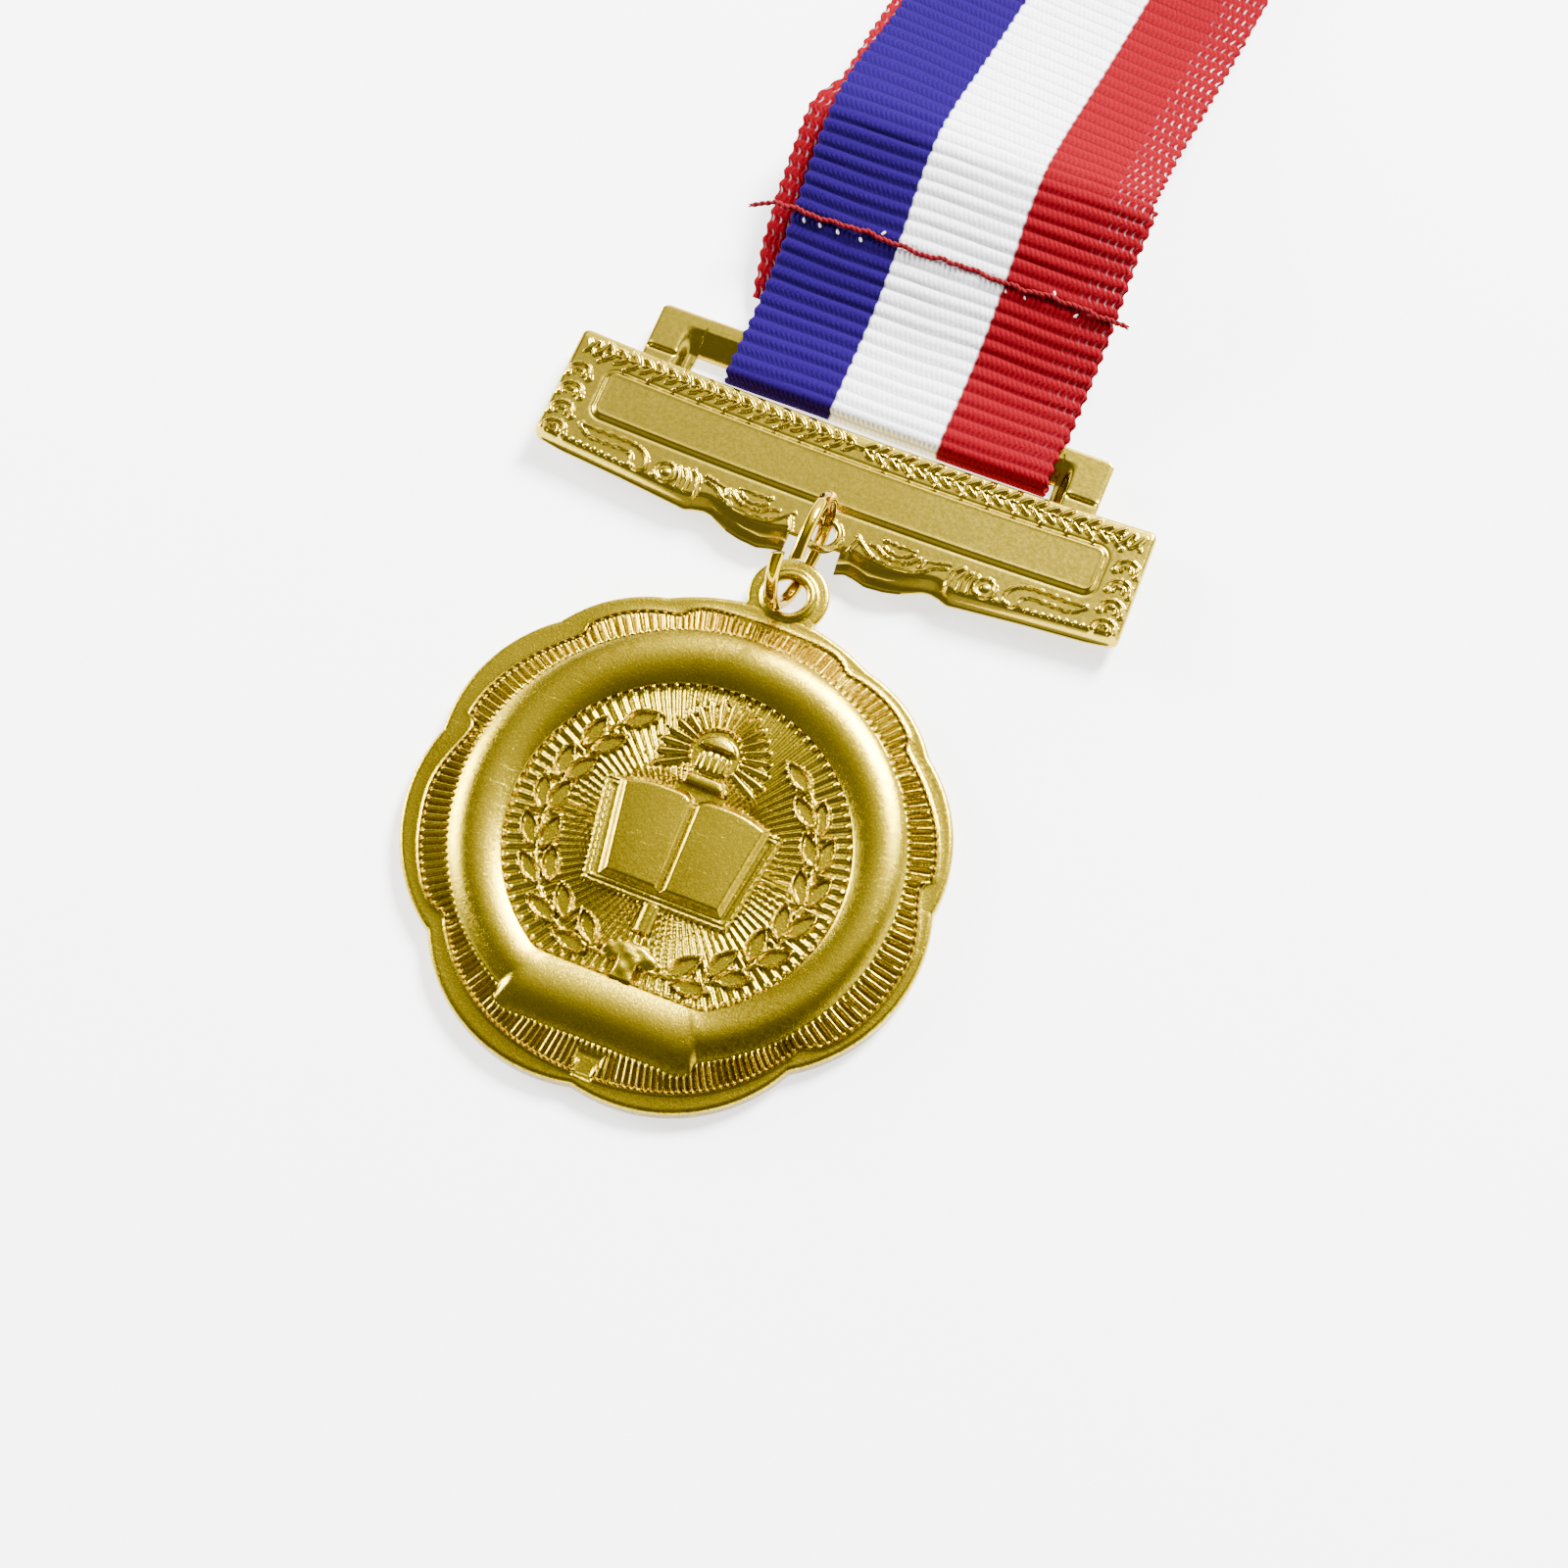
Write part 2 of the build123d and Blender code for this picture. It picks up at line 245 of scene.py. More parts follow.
def value_ramp(t, fac, lo, hi, a, b):
    n = t.nodes.new("ShaderNodeMapRange")
    n.inputs["From Min"].default_value = lo
    n.inputs["From Max"].default_value = hi
    n.inputs["To Min"].default_value = a
    n.inputs["To Max"].default_value = b
    t.links.new(fac, n.inputs["Value"])
    return n.outputs["Result"]


def mix(t, fac, a, b, kind="MIX"):
    n = t.nodes.new("ShaderNodeMix")
    n.data_type = "RGBA"
    n.blend_type = kind
    for sock, v in ((n.inputs[0], fac), (n.inputs[6], a), (n.inputs[7], b)):
        if isinstance(v, (int, float)):
            sock.default_value = v
        elif isinstance(v, tuple):
            sock.default_value = (*v, 1)
        else:
            t.links.new(v, sock)
    return n.outputs[2]


def math_node(t, op, a, b=None):
    n = t.nodes.new("ShaderNodeMath")
    n.operation = op
    for sock, v in ((n.inputs[0], a), (n.inputs[1], b)):
        if v is None:
            continue
        if isinstance(v, (int, float)):
            sock.default_value = v
        else:
            t.links.new(v, sock)
    return n.outputs[0]


def bump(t, height, strength, distance, normal=None):
    n = t.nodes.new("ShaderNodeBump")
    n.inputs["Strength"].default_value = strength
    n.inputs["Distance"].default_value = distance
    t.links.new(height, n.inputs["Height"])
    if normal is not None:
        t.links.new(normal, n.inputs["Normal"])
    return n.outputs["Normal"]


def gold(name, base, dark, grain=1.0, rough=(0.26, 0.42), scratches=1.0, mottle=0.6):
    """Gold-washed sheet: fine orange-peel grain, mottled wash, scratches and pits."""
    m, t, p = nodes_of(name)
    v = t.nodes.new("ShaderNodeTexCoord").outputs["Object"]
    fine = noise(t, 4200, 4, 0.7, v)
    mid = noise(t, 2300, 8, 0.82, v)
    broad = noise(t, 75, 3, 0.5, v)
    tint = mix(t, value_ramp(t, broad, 0.35, 0.65, 0, 0.55), base, dark)
    patch = math_node(t, "MULTIPLY", value_ramp(t, mid, 0.48, 0.53, 0, mottle), value_ramp(t, broad, 0.3, 0.7, 0.35, 1.0))
    deep = tuple(c * k for c, k in zip(dark, (0.46, 0.42, 0.3)))
    tint = mix(t, patch, tint, deep)
    speck = value_ramp(t, fine, 0.55, 0.62, 0, 1)
    tint = mix(t, math_node(t, "MULTIPLY", speck, 0.75 * grain), tint, (min(base[0] * 1.45, 1), min(base[1] * 1.5, 1), base[2] * 2.2))
    t.links.new(tint, p.inputs["Base Color"])
    p.inputs["Metallic"].default_value = 1.0
    r = math_node(t, "ADD", value_ramp(t, mid, 0.42, 0.58, rough[0], rough[1]), math_node(t, "MULTIPLY", speck, -0.08))
    t.links.new(r, p.inputs["Roughness"])
    n1 = bump(t, fine, min(1.0, 0.6 * grain), 0.000035 * grain)
    n2 = bump(t, mid, 0.45 * grain, 0.00004 * grain, n1)
    # scratches: thin lines from stretched noise in three directions
    total = None
    for rot, sc in ((0.5, 1), (1.9, 1.3), (2.8, 0.8)):
        s = noise(t, 260 * sc, 2, 0.5, v, (1.0, 14.0, 1.0, rot))
        line = value_ramp(t, s, 0.705, 0.735, 0, 1)
        line.node.clamp = True
        total = line if total is None else math_node(t, "MAXIMUM", total, line)
    normal = bump(t, total, 0.6 * scratches, 0.00005, n2)
    t.links.new(normal, p.inputs["Normal"])
    return m


MEDAL_GOLD = gold("medal_gold", (0.52, 0.385, 0.012), (0.42, 0.30, 0.008), 1.0, (0.18, 0.28), 0.25, 0.9)
BAR_GOLD = gold("bar_gold", (0.50, 0.37, 0.030), (0.45, 0.325, 0.022), 0.45, (0.18, 0.27), 0.12, 0.2)
RING_GOLD = gold("ring_gold", (0.62, 0.42, 0.001), (0.56, 0.37, 0.0008), 0.12, (0.07, 0.12), 0.2, 0.05)

# ------------------------------------------------------------------ medallion
MX, MY = -1.10, -40.0
CUSPS = [(24, 24.9), (48, 25.05), (84, 24.6), (132, 23.9), (180, 24.4)]
PEAKS = [(36, 25.45), (66, 25.65), (107, 25.45), (157, 25.5)]
TOP_PEAK = 25.3


def outline_radius(deg):
    """Radius of the scalloped outline at an angle from the lug, -180 to 180."""
    deg = np.asarray(deg, float)
    cusps = [(-a, r) for a, r in reversed(CUSPS)] + CUSPS
    peaks = [(-a, r) for a, r in reversed(PEAKS)] + [(0, TOP_PEAK)] + PEAKS
    out = np.zeros_like(deg)
    for (a0, r0), (ap, rp), (a1, r1) in zip(cusps[:-1], peaks, cusps[1:]):
        P = [np.array([r * math.sin(math.radians(a)), r * math.cos(math.radians(a))]) for a, r in ((a0, r0), (ap, rp), (a1, r1))]
        ax, ay = P[0]; bx, by = P[1]; cx, cy = P[2]
        d = 2 * (ax * (by - cy) + bx * (cy - ay) + cx * (ay - by))
        ux = ((ax**2 + ay**2) * (by - cy) + (bx**2 + by**2) * (cy - ay) + (cx**2 + cy**2) * (ay - by)) / d
        uy = ((ax**2 + ay**2) * (cx - bx) + (bx**2 + by**2) * (ax - cx) + (cx**2 + cy**2) * (bx - ax)) / d
        rad = math.hypot(ax - ux, ay - uy)
        sel = (deg >= a0) & (deg <= a1)
        th = np.radians(deg[sel])
        along = ux * np.sin(th) + uy * np.cos(th)
        out[sel] = along + np.sqrt(np.maximum(rad**2 - (ux**2 + uy**2 - along**2), 0))
    return out


BAND = np.array([
    (0, 23.4), (4, 23.4), (8, 23.5), (12, 23.7), (16, 23.8), (18.5, 23.6), (20.5, 23.15), (22, 23.1), (25, 23.4),
    (28, 23.65), (32, 23.85), (36, 23.9), (40, 23.8), (42.3, 23.65), (43.7, 23.1), (45, 22.95), (48, 23.0), (52, 23.15),
    (56, 23.3), (60, 23.45), (65, 23.6), (70, 23.6), (75, 23.5), (77.3, 23.35), (78.3, 22.6), (79.5, 22.35), (82, 22.4),
    (84, 22.55), (88, 22.95), (92, 23.35), (96, 23.6), (100, 23.65), (110, 23.65), (115, 23.55), (120, 23.4),
    (124, 23.1), (126, 22.75), (128, 22.2), (129.3, 22.05), (131, 22.25), (135, 22.5), (140, 22.8), (145, 23.05),
    (150, 23.2), (155, 23.3), (160, 23.3), (165, 23.25), (170, 23.2), (175, 23.15), (180, 23.1)])
SEG = np.array([-180, -129, -78, -43.5, -21, 21, 43.5, 78, 129, 180])
RIBS = np.array([33, 26, 18, 11, 31, 11, 18, 26, 33])
CDX, CDY = 0.35, -0.07


def relief_angle(deg, r):
    th = np.radians(deg)
    return deg + 0.8 - np.degrees((CDX * np.cos(th) - CDY * np.sin(th)) / r)


def band_radius(deg):
    th = np.radians(deg)
    a = (relief_angle(deg, 23.0) + 180) % 360 - 180
    return np.interp(np.abs(a), BAND[:, 0], BAND[:, 1]) + CDX * np.sin(th) + CDY * np.cos(th)


def shoulder_radius(deg):
    th = np.radians(deg)
    r = 21.12 + 0.2 * np.sin(th) + 0.30 * np.cos(th)
    foot = np.where(np.abs(deg) > 120, 20.32 / np.maximum(-np.cos(th), 0.3), 0)
    foot = np.minimum(foot, 22.0)
    m = sstep(152.0, 154.5, np.abs(deg + 0.3))
    return r * (1 - m) + np.maximum(foot, r * 0.96) * m


def rib_phase(deg):
    a = (relief_angle(deg, 22.0) + 180) % 360 - 180
    base = np.concatenate([[0], np.cumsum(RIBS)])
    return np.interp(a, SEG, base) * 2 * math.pi


FX, FY, FR, CHORD = -0.75, -40.22, 16.05, -54.10


def field_radius(ang):
    """Edge of the emblem field from its own centre, angle from +y."""
    c = np.cos(ang)
    r = np.full_like(c, FR)
    low = c < -0.5
    flat = np.where(low, (FY - CHORD) / np.maximum(-c, 0.5), 99)
    return -np.log(np.exp(-r * 6) + np.exp(-flat * 6)) / 6


def par(px, py, dz=0.0):
    """Emblem design coordinates to the layout frame, for a surface dz above the field."""
    return px + 0.45 + 0.141 * dz, py - 0.353 * dz


def emblem(x, y):
    """Height of the emblem field at layout coordinates."""
    dx, dy = x - FX, y - FY
    r = np.hypot(dx, dy)
    ang = np.arctan2(dx, dy)
    edge = field_radius(ang)
    # radial ribs
    ph = np.cos(94 * ang)
    rib = sstep(-0.55, 0.35, ph)
    amp = 0.27 * sstep(1.5, 5.0, r)
    lift = 0.30 * sstep(0.55, 0.1, edge - r)
    z = 1.93 + amp * rib * (0.85 + 0.15 * ph) + lift * rib
    h = np.zeros_like(z)

    # rays round the torch head
    hx, hy = par(-1.4, -30.42, 0.3)
    rx, ry = x - hx, y - hy
    rr = np.hypot(rx, ry)
    ra = np.arctan2(rx, ry)
    n_rays = 27
    pr = 0.5 + 0.5 * np.cos(n_rays * ra)
    reach = 4.55 + 1.0 * pr + 0.35 * np.cos(3 * ra)
    ray = pr**0.55 * sstep(0, 0.35, reach - rr) * (np.cos(ra) > -0.62)
    inside = (rr < reach) & (np.cos(ra) > -0.62)
    z = np.where(inside, 1.93 + 0.40 * ray * sstep(2.2, 2.6, rr), z)
    # dark recess round the head
    z = np.where(rr < 2.38, 1.88, z)
    ring_lip = np.exp(-((rr - 2.5) / 0.12) ** 2) * (np.cos(ra) > -0.5)
    z = z + 0.10 * ring_lip
    # domed cap over a fluted lamp body
    cx, cy = par(-1.42, -30.08, 0.55)
    e = np.hypot((x - cx) / 1.88, (y - cy) / 1.5)
    cap = np.sqrt(np.clip(1 - e**2, 0, 1)) * (y > cy)
    cap = np.where((e < 1) & (y > cy), 0.35 + 0.32 * cap, 0) * sstep(0, 0.22, y - cy) * sstep(1.0, 0.88, e)
    z = np.maximum(z, 1.95 + cap)
    lx, ly = par(-1.38, -31.35, 0.45)
    e = (np.abs((x - lx) / 1.62) ** 3.2 + np.abs((y - ly) / 1.2) ** 3.2) ** (1 / 3.2)
    flute = 0.62 + 0.38 * np.abs(np.cos(math.pi * (x - lx) / 0.66))
    z = np.maximum(z, np.where(e < 1, 1.95 + 0.50 * np.sqrt(np.clip(1 - e**4, 0, 1)) * flute, 0))
    # recess below the flames and the cup
    c0 = par(-1.35, -34.75, 0.1)
    wedge = (y < c0[1] + 0.75) & (y > c0[1] - 0.9) & (np.abs(x - c0[0]) < 2.5)
    z = np.where(wedge, 1.82, z)
    kx, ky = par(-1.3, -33.45, 0.5)
    half = 2.15 + 0.35 * np.clip((ky - y) / 0.6, -1, 1)
    e = np.maximum(np.abs(x - kx) / half, np.abs(y - ky) / 0.62)
    prof = sstep(1.0, 0.72, e)
    z = z * (1 - prof) + (2.40 + 0.12 * np.cos((y - ky) / 0.62 * 1.4)) * prof

    # handle below the book
    ax, ay = par(-1.15, -47.5, 0.3)
    across = np.abs(x - ax) / 0.82
    hand = np.sqrt(np.clip(1 - across**2, 0, 1))
    m = (across < 1) & (y > ay - 1.75) & (y < ay + 1.7)
    z = np.where(m, 1.95 + 0.62 * hand * sstep(-1.75, -1.5, y - ay), z)

    # wreath
    leaves = [
        (-6.85, -52.2, 170), (-5.82, -50.3, 128), (-10.5, -50.2, 155), (-8.9, -48.8, 118), (-13.1, -47.0, 140),
        (-11.4, -45.9, 105), (-14.6, -43.4, 122), (-12.6, -43.1, 82), (-14.8, -39.7, 105), (-13.2, -39.5, 75),
        (-14.1, -36.1, 88), (-12.4, -36.3, 55), (-12.6, -32.5, 75), (-10.9, -33.1, 42), (-9.1, -29.7, 38),
        (5.0, -52.2, 8), (3.8, -50.5, 48), (8.3, -50.0, 22), (6.8, -49.0, 62), (11.0, -46.8, 38), (9.1, -46.2, 85),
        (12.2, -43.1, 55), (10.4, -43.3, 97), (12.4, -39.5, 68), (10.7, -39.6, 112), (11.7, -35.9, 85),
        (10.1, -35.9, 125), (10.0, -32.7, 105), (8.4, -32.7, 140), (6.6, -29.7, 145)]
    for pts in (
        [(-2.6, -52.2), (-4.4, -52.1), (-8.0, -51.4), (-11.0, -48.9), (-13.0, -45.3), (-13.7, -41.2), (-13.3, -37.6), (-12.4, -34.6), (-11.4, -31.8), (-10.2, -30.5)],
        [(0.4, -52.2), (2.4, -52.1), (6.0, -51.4), (9.2, -48.7), (11.0, -45.2), (11.6, -41.2), (11.2, -37.5), (10.3, -34.6), (9.2, -32.0), (7.8, -30.5)],
    ):
        c = curve([par(a, b, 0.35) for a, b in pts], 6)
        stem = np.zeros_like(z)
        stroke(stem, x, y, c, 0.42, 0.38)
        z = np.maximum(z, np.where(stem > 0, 2.02 + stem, 0))
    for lx, ly, deg in leaves:
        lx, ly = par(lx, ly, 0.3)
        a = math.radians(deg)
        u = (x - lx) * math.cos(a) + (y - ly) * math.sin(a)
        w = -(x - lx) * math.sin(a) + (y - ly) * math.cos(a)
        L, W = 3.85, 1.95
        s = np.clip(1 - (2 * u / L) ** 2, 0, 1)
        half = W / 2 * s**0.85 * (1 - 0.25 * u / L)
        near = (np.abs(u) < L / 2) & (np.abs(w) < half + 0.02)
        d = half - np.abs(w)
        rim = np.sqrt(np.clip(1 - ((d - 0.19) / 0.20) ** 2, 0, 1))
        tipfill = sstep(0.42, 0.2, half)
        leaf = 1.98 + 0.46 * np.maximum(rim, tipfill * sstep(0, 0.2, d)) * sstep(-0.02, 0.06, d)
        z = np.where(near, np.maximum(np.where(d > 0.2, leaf, np.maximum(z, leaf)), 0), z)

    # book: cover
    y_top, y_bot = -36.1, -46.2
    tt = np.clip((par(0, y_top)[1] - y) / (y_top - y_bot), 0, 1)
    xl = par(-9.95, 0, 0.4)[0] + (9.95 - 8.2) * tt
    xr = par(7.6, 0, 0.4)[0] - (7.6 - 6.05) * tt
    yt = par(0, y_top, 0.4)[1] + 0.25
    yb = par(0, y_bot, 0.4)[1]
    d = np.minimum(np.minimum(x - xl, xr - x), np.minimum(y - yb, yt - y))
    cover = 2.22 + 0.16 * np.exp(-((d - 0.18) / 0.14) ** 2) + 0.14 * np.exp(-((d - 0.62) / 0.14) ** 2)
    mcov = sstep(-0.10, 0.06, d)
    z = z * (1 - mcov) + cover * mcov
    # pages
    sx = par(-1.25, 0, 0.8)[0] + 0.02 * (-40 - y) * 1.0
    pb = par(0, -45.25, 0.7)[1]
    for s in (-1, 1):
        if s < 0:
            edge_x = par(-8.75, 0, 0.7)[0] + (8.75 - 7.05) * np.clip((par(0, -35.9, 0.7)[1] - y) / 9.3, 0, 1)
            d_out = x - edge_x
            d_sp = sx - x
            crest = par(-4.0, 0, 0.7)[0]
        else:
            edge_x = par(6.3, 0, 0.7)[0] - (6.3 - 5.15) * np.clip((par(0, -35.9, 0.7)[1] - y) / 9.3, 0, 1)
            d_out = edge_x - x
            d_sp = x - sx
            crest = par(1.6, 0, 0.7)[0]
        w = (x - crest) / 4.6
        top = par(0, -34.55, 0.9)[1] - 1.15 * np.clip(np.abs(w) - 0.1, 0, 2) ** 2 * 1.0
        inner = np.clip(1 - d_sp / 1.3, 0, 1)
        top = top - 0.75 * inner**2
        d_top, d_bot = top - y, y - pb
        rise = np.minimum(
            np.minimum(sstep(0.0, 0.85, d_out), 0.35 + 0.65 * sstep(0.0, 0.62, d_sp)),
            np.minimum(sstep(0.0, 0.75, d_bot), sstep(0.0, 0.8, d_top)))
        span = np.clip(d_sp / np.maximum(d_sp + d_out, 0.1), 0, 1)
        page = 2.24 + 0.66 * rise + 0.10 * np.sin(math.pi * span) * rise
        m = (d_out > 0) & (d_sp > 0) & (d_top > 0) & (d_bot > 0)
        z = np.where(m, np.maximum(page, 2.24), z)

    # knot at the bottom of the wreath
    kx, ky = par(-1.15, -51.1, 0.6)
    lump = 0.05 * np.sin(3.1 * x + 1.0) * np.sin(3.7 * y)
    e = np.hypot((x - kx) / 2.9, (y - ky + 0.12 * np.abs(x - kx)) / 1.0)
    m = sstep(1.05, 0.86, e)
    z = z * (1 - m) + np.maximum(z, 2.36 + 0.34 * np.sqrt(np.clip(1 - e**2, 0, 1)) + lump) * m
    tx = par(-1.1, 0, 0.4)[0]
    half = 1.05 + 0.25 * np.clip((ky - y) / 3, 0, 1)
    d = np.minimum(half - np.abs(x - tx), np.minimum(y - (ky - 3.6), ky + 0.1 - y))
    m = sstep(-0.02, 0.4, d)
    z = z * (1 - m) + np.maximum(z, 2.74 + lump) * m
    return np.minimum(z, 3.02)


def medallion():
    step = 0.125
    nx = int(2 * (FR + 0.5) / step) + 1
    gx = FX + (np.arange(nx) - (nx - 1) / 2) * step
    gy = FY + (np.arange(nx) - (nx - 1) / 2) * step
    X, Y = np.meshgrid(gx, gy)
    ang = np.arctan2(X - FX, Y - FY)
    ok = np.hypot(X - FX, Y - FY) < field_radius(ang) - 0.09
    cells = ok[:-1, :-1] & ok[1:, :-1] & ok[:-1, 1:] & ok[1:, 1:]
    Z = emblem(X, Y)
    loop = loop_of(cells, nx, nx)
    j, i = np.nonzero(cells)
    quads = np.stack([j * nx + i, j * nx + i + 1, (j + 1) * nx + i + 1, (j + 1) * nx + i], -1)
    used = np.unique(quads)
    remap = np.full(nx * nx, -1)
    remap[used] = np.arange(len(used))
    V = [np.stack([X.ravel()[used], Y.ravel()[used], Z.ravel()[used]], -1)]
    F = [remap[quads]]
    inner_loop = remap[loop][::-1]
    iv = V[0][inner_loop]
    ia = np.arctan2(iv[:, 0] - FX, iv[:, 1] - FY)
    n0 = len(used)

    N = 720
    deg = np.arange(N) * 360.0 / N - 180
    th = np.radians(deg)
    # inner edge of the convex ring, seen from the field's centre
    fr = field_radius(th)
    fx, fy = FX + fr * np.sin(th), FY + fr * np.cos(th)
    sr = shoulder_radius(deg)
    sx, sy = MX + sr * np.sin(th), MY + sr * np.cos(th)
    loops = []
    base_z = emblem(fx - 0.02 * np.sin(th), fy - 0.02 * np.cos(th))
    loops.append((fx, fy, np.minimum(base_z, 2.4)))
    prof = [(0.006, 2.36), (0.022, 2.44), (0.05, 2.50), (0.11, 2.62), (0.19, 2.745), (0.28, 2.85), (0.37, 2.92),
            (0.46, 2.955), (0.55, 2.95), (0.64, 2.90), (0.72, 2.81), (0.79, 2.69), (0.85, 2.55), (0.90, 2.41),
            (0.94, 2.27), (0.97, 2.14), (1.0, 2.00)]
    for s, z in prof:
        loops.append((fx + (sx - fx) * s, fy + (sy - fy) * s, np.full(N, z)))
    ring_n = len(loops)
    V.append(np.concatenate([np.stack(l, -1) for l in loops]))
    F.append(rows(n0, ring_n, N, flip=True))
    la = np.arctan2(fx - FX, fy - FY)
    zt = zipper(inner_loop, ia, n0 + np.arange(N), la)
    F.append(zt)
    last = n0 + (ring_n - 1) * N + np.arange(N)
    count = n0 + ring_n * N

    # rib band, twice as many steps round
    N2 = 1440
    deg2 = np.arange(N2) * 360.0 / N2 - 180
    th2 = np.radians(deg2)
    r0, r1 = shoulder_radius(deg2), band_radius(deg2)
    ph = rib_phase(deg2)
    rib = np.clip(0.5 + 0.5 * np.cos(ph), 0, 1) ** 0.8
    outer = outline_radius(deg2)
    ts = [0.02, 0.07, 0.14, 0.23, 0.33, 0.43, 0.53, 0.63, 0.73, 0.82, 0.89, 0.94, 0.975, 1.0]
    loops = []
    for t in ts:
        r = r0 + (r1 - r0) * t
        away0, away1 = r - r0, r1 - r
        env = np.sqrt(np.clip(1 - (1 - np.clip(away1 / 0.30, 0, 1)) ** 2, 0, 1)) * sstep(-0.1, 0.35, away0)
        base = 1.97 + (1.58 - 1.97) * t - 0.10 * sstep(0, 0.25, away0) * (1 - t)
        z = base + 0.10 * rib * env + 0.30 * (rib - 0.33) * env + 0.05 * sstep(0.25, 0, away0)
        x, y = MX + r * np.sin(th2), MY + r * np.cos(th2)
        # small blank pad in the middle of the lower edge
        px, py = x - (-0.42), y - (-61.75)
        wide = np.where(py > -0.5, 1.45, 1.0)
        d = np.minimum(wide - np.abs(px), np.minimum(0.95 - py, py + 2.4))
        m = sstep(-0.08, 0.02, d)
        z = z * (1 - m) + (1.60 + 0.22 * np.exp(-((d - 0.12) / 0.12) ** 2)) * m
        loops.append((x, y, z))
    for dr, z in ((0.06, 1.50), (0.13, 1.70), (0.21, 1.80), (0.30, 1.77), (0.42, 1.69)):
        r = np.minimum(r1 + dr, outer - 0.55)
        bead = 0.03 * rib * (dr < 0.25)
        x, y = MX + r * np.sin(th2), MY + r * np.cos(th2)
        px, py = x - (-0.42), y - (-61.75)
        m = sstep(1.05, 0.9, np.abs(px)) * (py < 0)
        loops.append((x, y, (z + bead) * (1 - m) + 1.62 * m))
    band_n = len(loops)
    V.append(np.concatenate([np.stack(l, -1) for l in loops]))
    F.append(rows(count, band_n, N2, flip=True))
    first = count + np.arange(N2)
    F.append(halve(first, last, flip=False))
    last2 = count + (band_n - 1) * N2 + np.arange(N2)
    rb = np.minimum(r1 + 0.42, outer - 0.55)[::2]
    count += band_n * N2

    # flange, rim and back
    out = outline_radius(deg)
    loops = []
    for u in (0.12, 0.35, 0.6, 0.85):
        r = rb + (out - 0.42 - rb) * u
        dish = 1.69 - 0.03 * u - 0.025 * np.sin(math.pi * u)
        loops.append((r, np.full(N, dish)))
    for a in (0, 22, 45, 68, 90):
        c, s = math.cos(math.radians(a)), math.sin(math.radians(a))
        loops.append((out - 0.42 + 0.42 * s, np.full(N, 1.65 - 0.42 + 0.42 * c)))
    loops.append((out + 0.0, np.full(N, 0.9)))
    loops.append((out + 0.0, np.full(N, 0.10)))
    loops.append((out - 0.05, np.full(N, 0.03)))
    loops.append((out - 0.16, np.full(N, 0.0)))
    loops.append((out - 0.33, np.full(N, 0.01)))
    loops.append((out - 0.44, np.full(N, 0.08)))
    loops.append((out - 0.47, np.full(N, 0.9)))
    loops.append((out - 0.60, np.full(N, 1.14)))
    loops.append((out - 0.85, np.full(N, 1.21)))
    pts = [np.stack([MX + r * np.sin(th), MY + r * np.cos(th), z], -1) for r, z in loops]
    V.append(np.concatenate(pts))
    F.append(rows(count, len(loops), N, flip=True))
    F.append(halve(last2, count + np.arange(N), flip=True))
    tail = count + (len(loops) - 1) * N + np.arange(N)
    count += len(loops) * N
    n = N
    prev = tail
    back = [(22.6, 1.18), (21.3, 1.20), (20.9, 1.45), (20.4, 1.95), (19.8, 2.25), (18.8, 2.48), (17.8, 2.42),
            (16.9, 2.2), (16.2, 1.85), (15.8, 1.50), (15.0, 1.46), (11.0, 1.46), (7.0, 1.46), (3.0, 1.46), (1.0, 1.46)]
    for k, (r, z) in enumerate(back):
        if k in (0, 9):
            n //= 2
        d = np.arange(n) * 2 * math.pi / n - math.pi
        rr = np.full(n, r)
        if r > 20:
            rr = rr + 0.2 * np.sin(d) + 0.3 * np.cos(d)
        ring = np.stack([MX + rr * np.sin(d), MY + rr * np.cos(d), np.full(n, z)], -1)
        V.append(ring)
        idx = count + np.arange(n)
        if len(prev) == 2 * n:
            F.append(halve(prev, idx, flip=True))
        else:
            q = np.stack([prev, np.roll(prev, -1), np.roll(idx, -1), idx], -1)
            F.append(q[:, ::-1])
        prev = idx
        count += n
    V.append(np.array([[MX, MY, 1.46]]))
    F.append(np.stack([np.roll(prev, -1), prev, np.full(n, count)], -1))
    return np.concatenate(V), F


mv, mf = medallion()
medal = make("medal_disc", mv, mf, "medal", [MEDAL_GOLD], angle=50)
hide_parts("medallion")

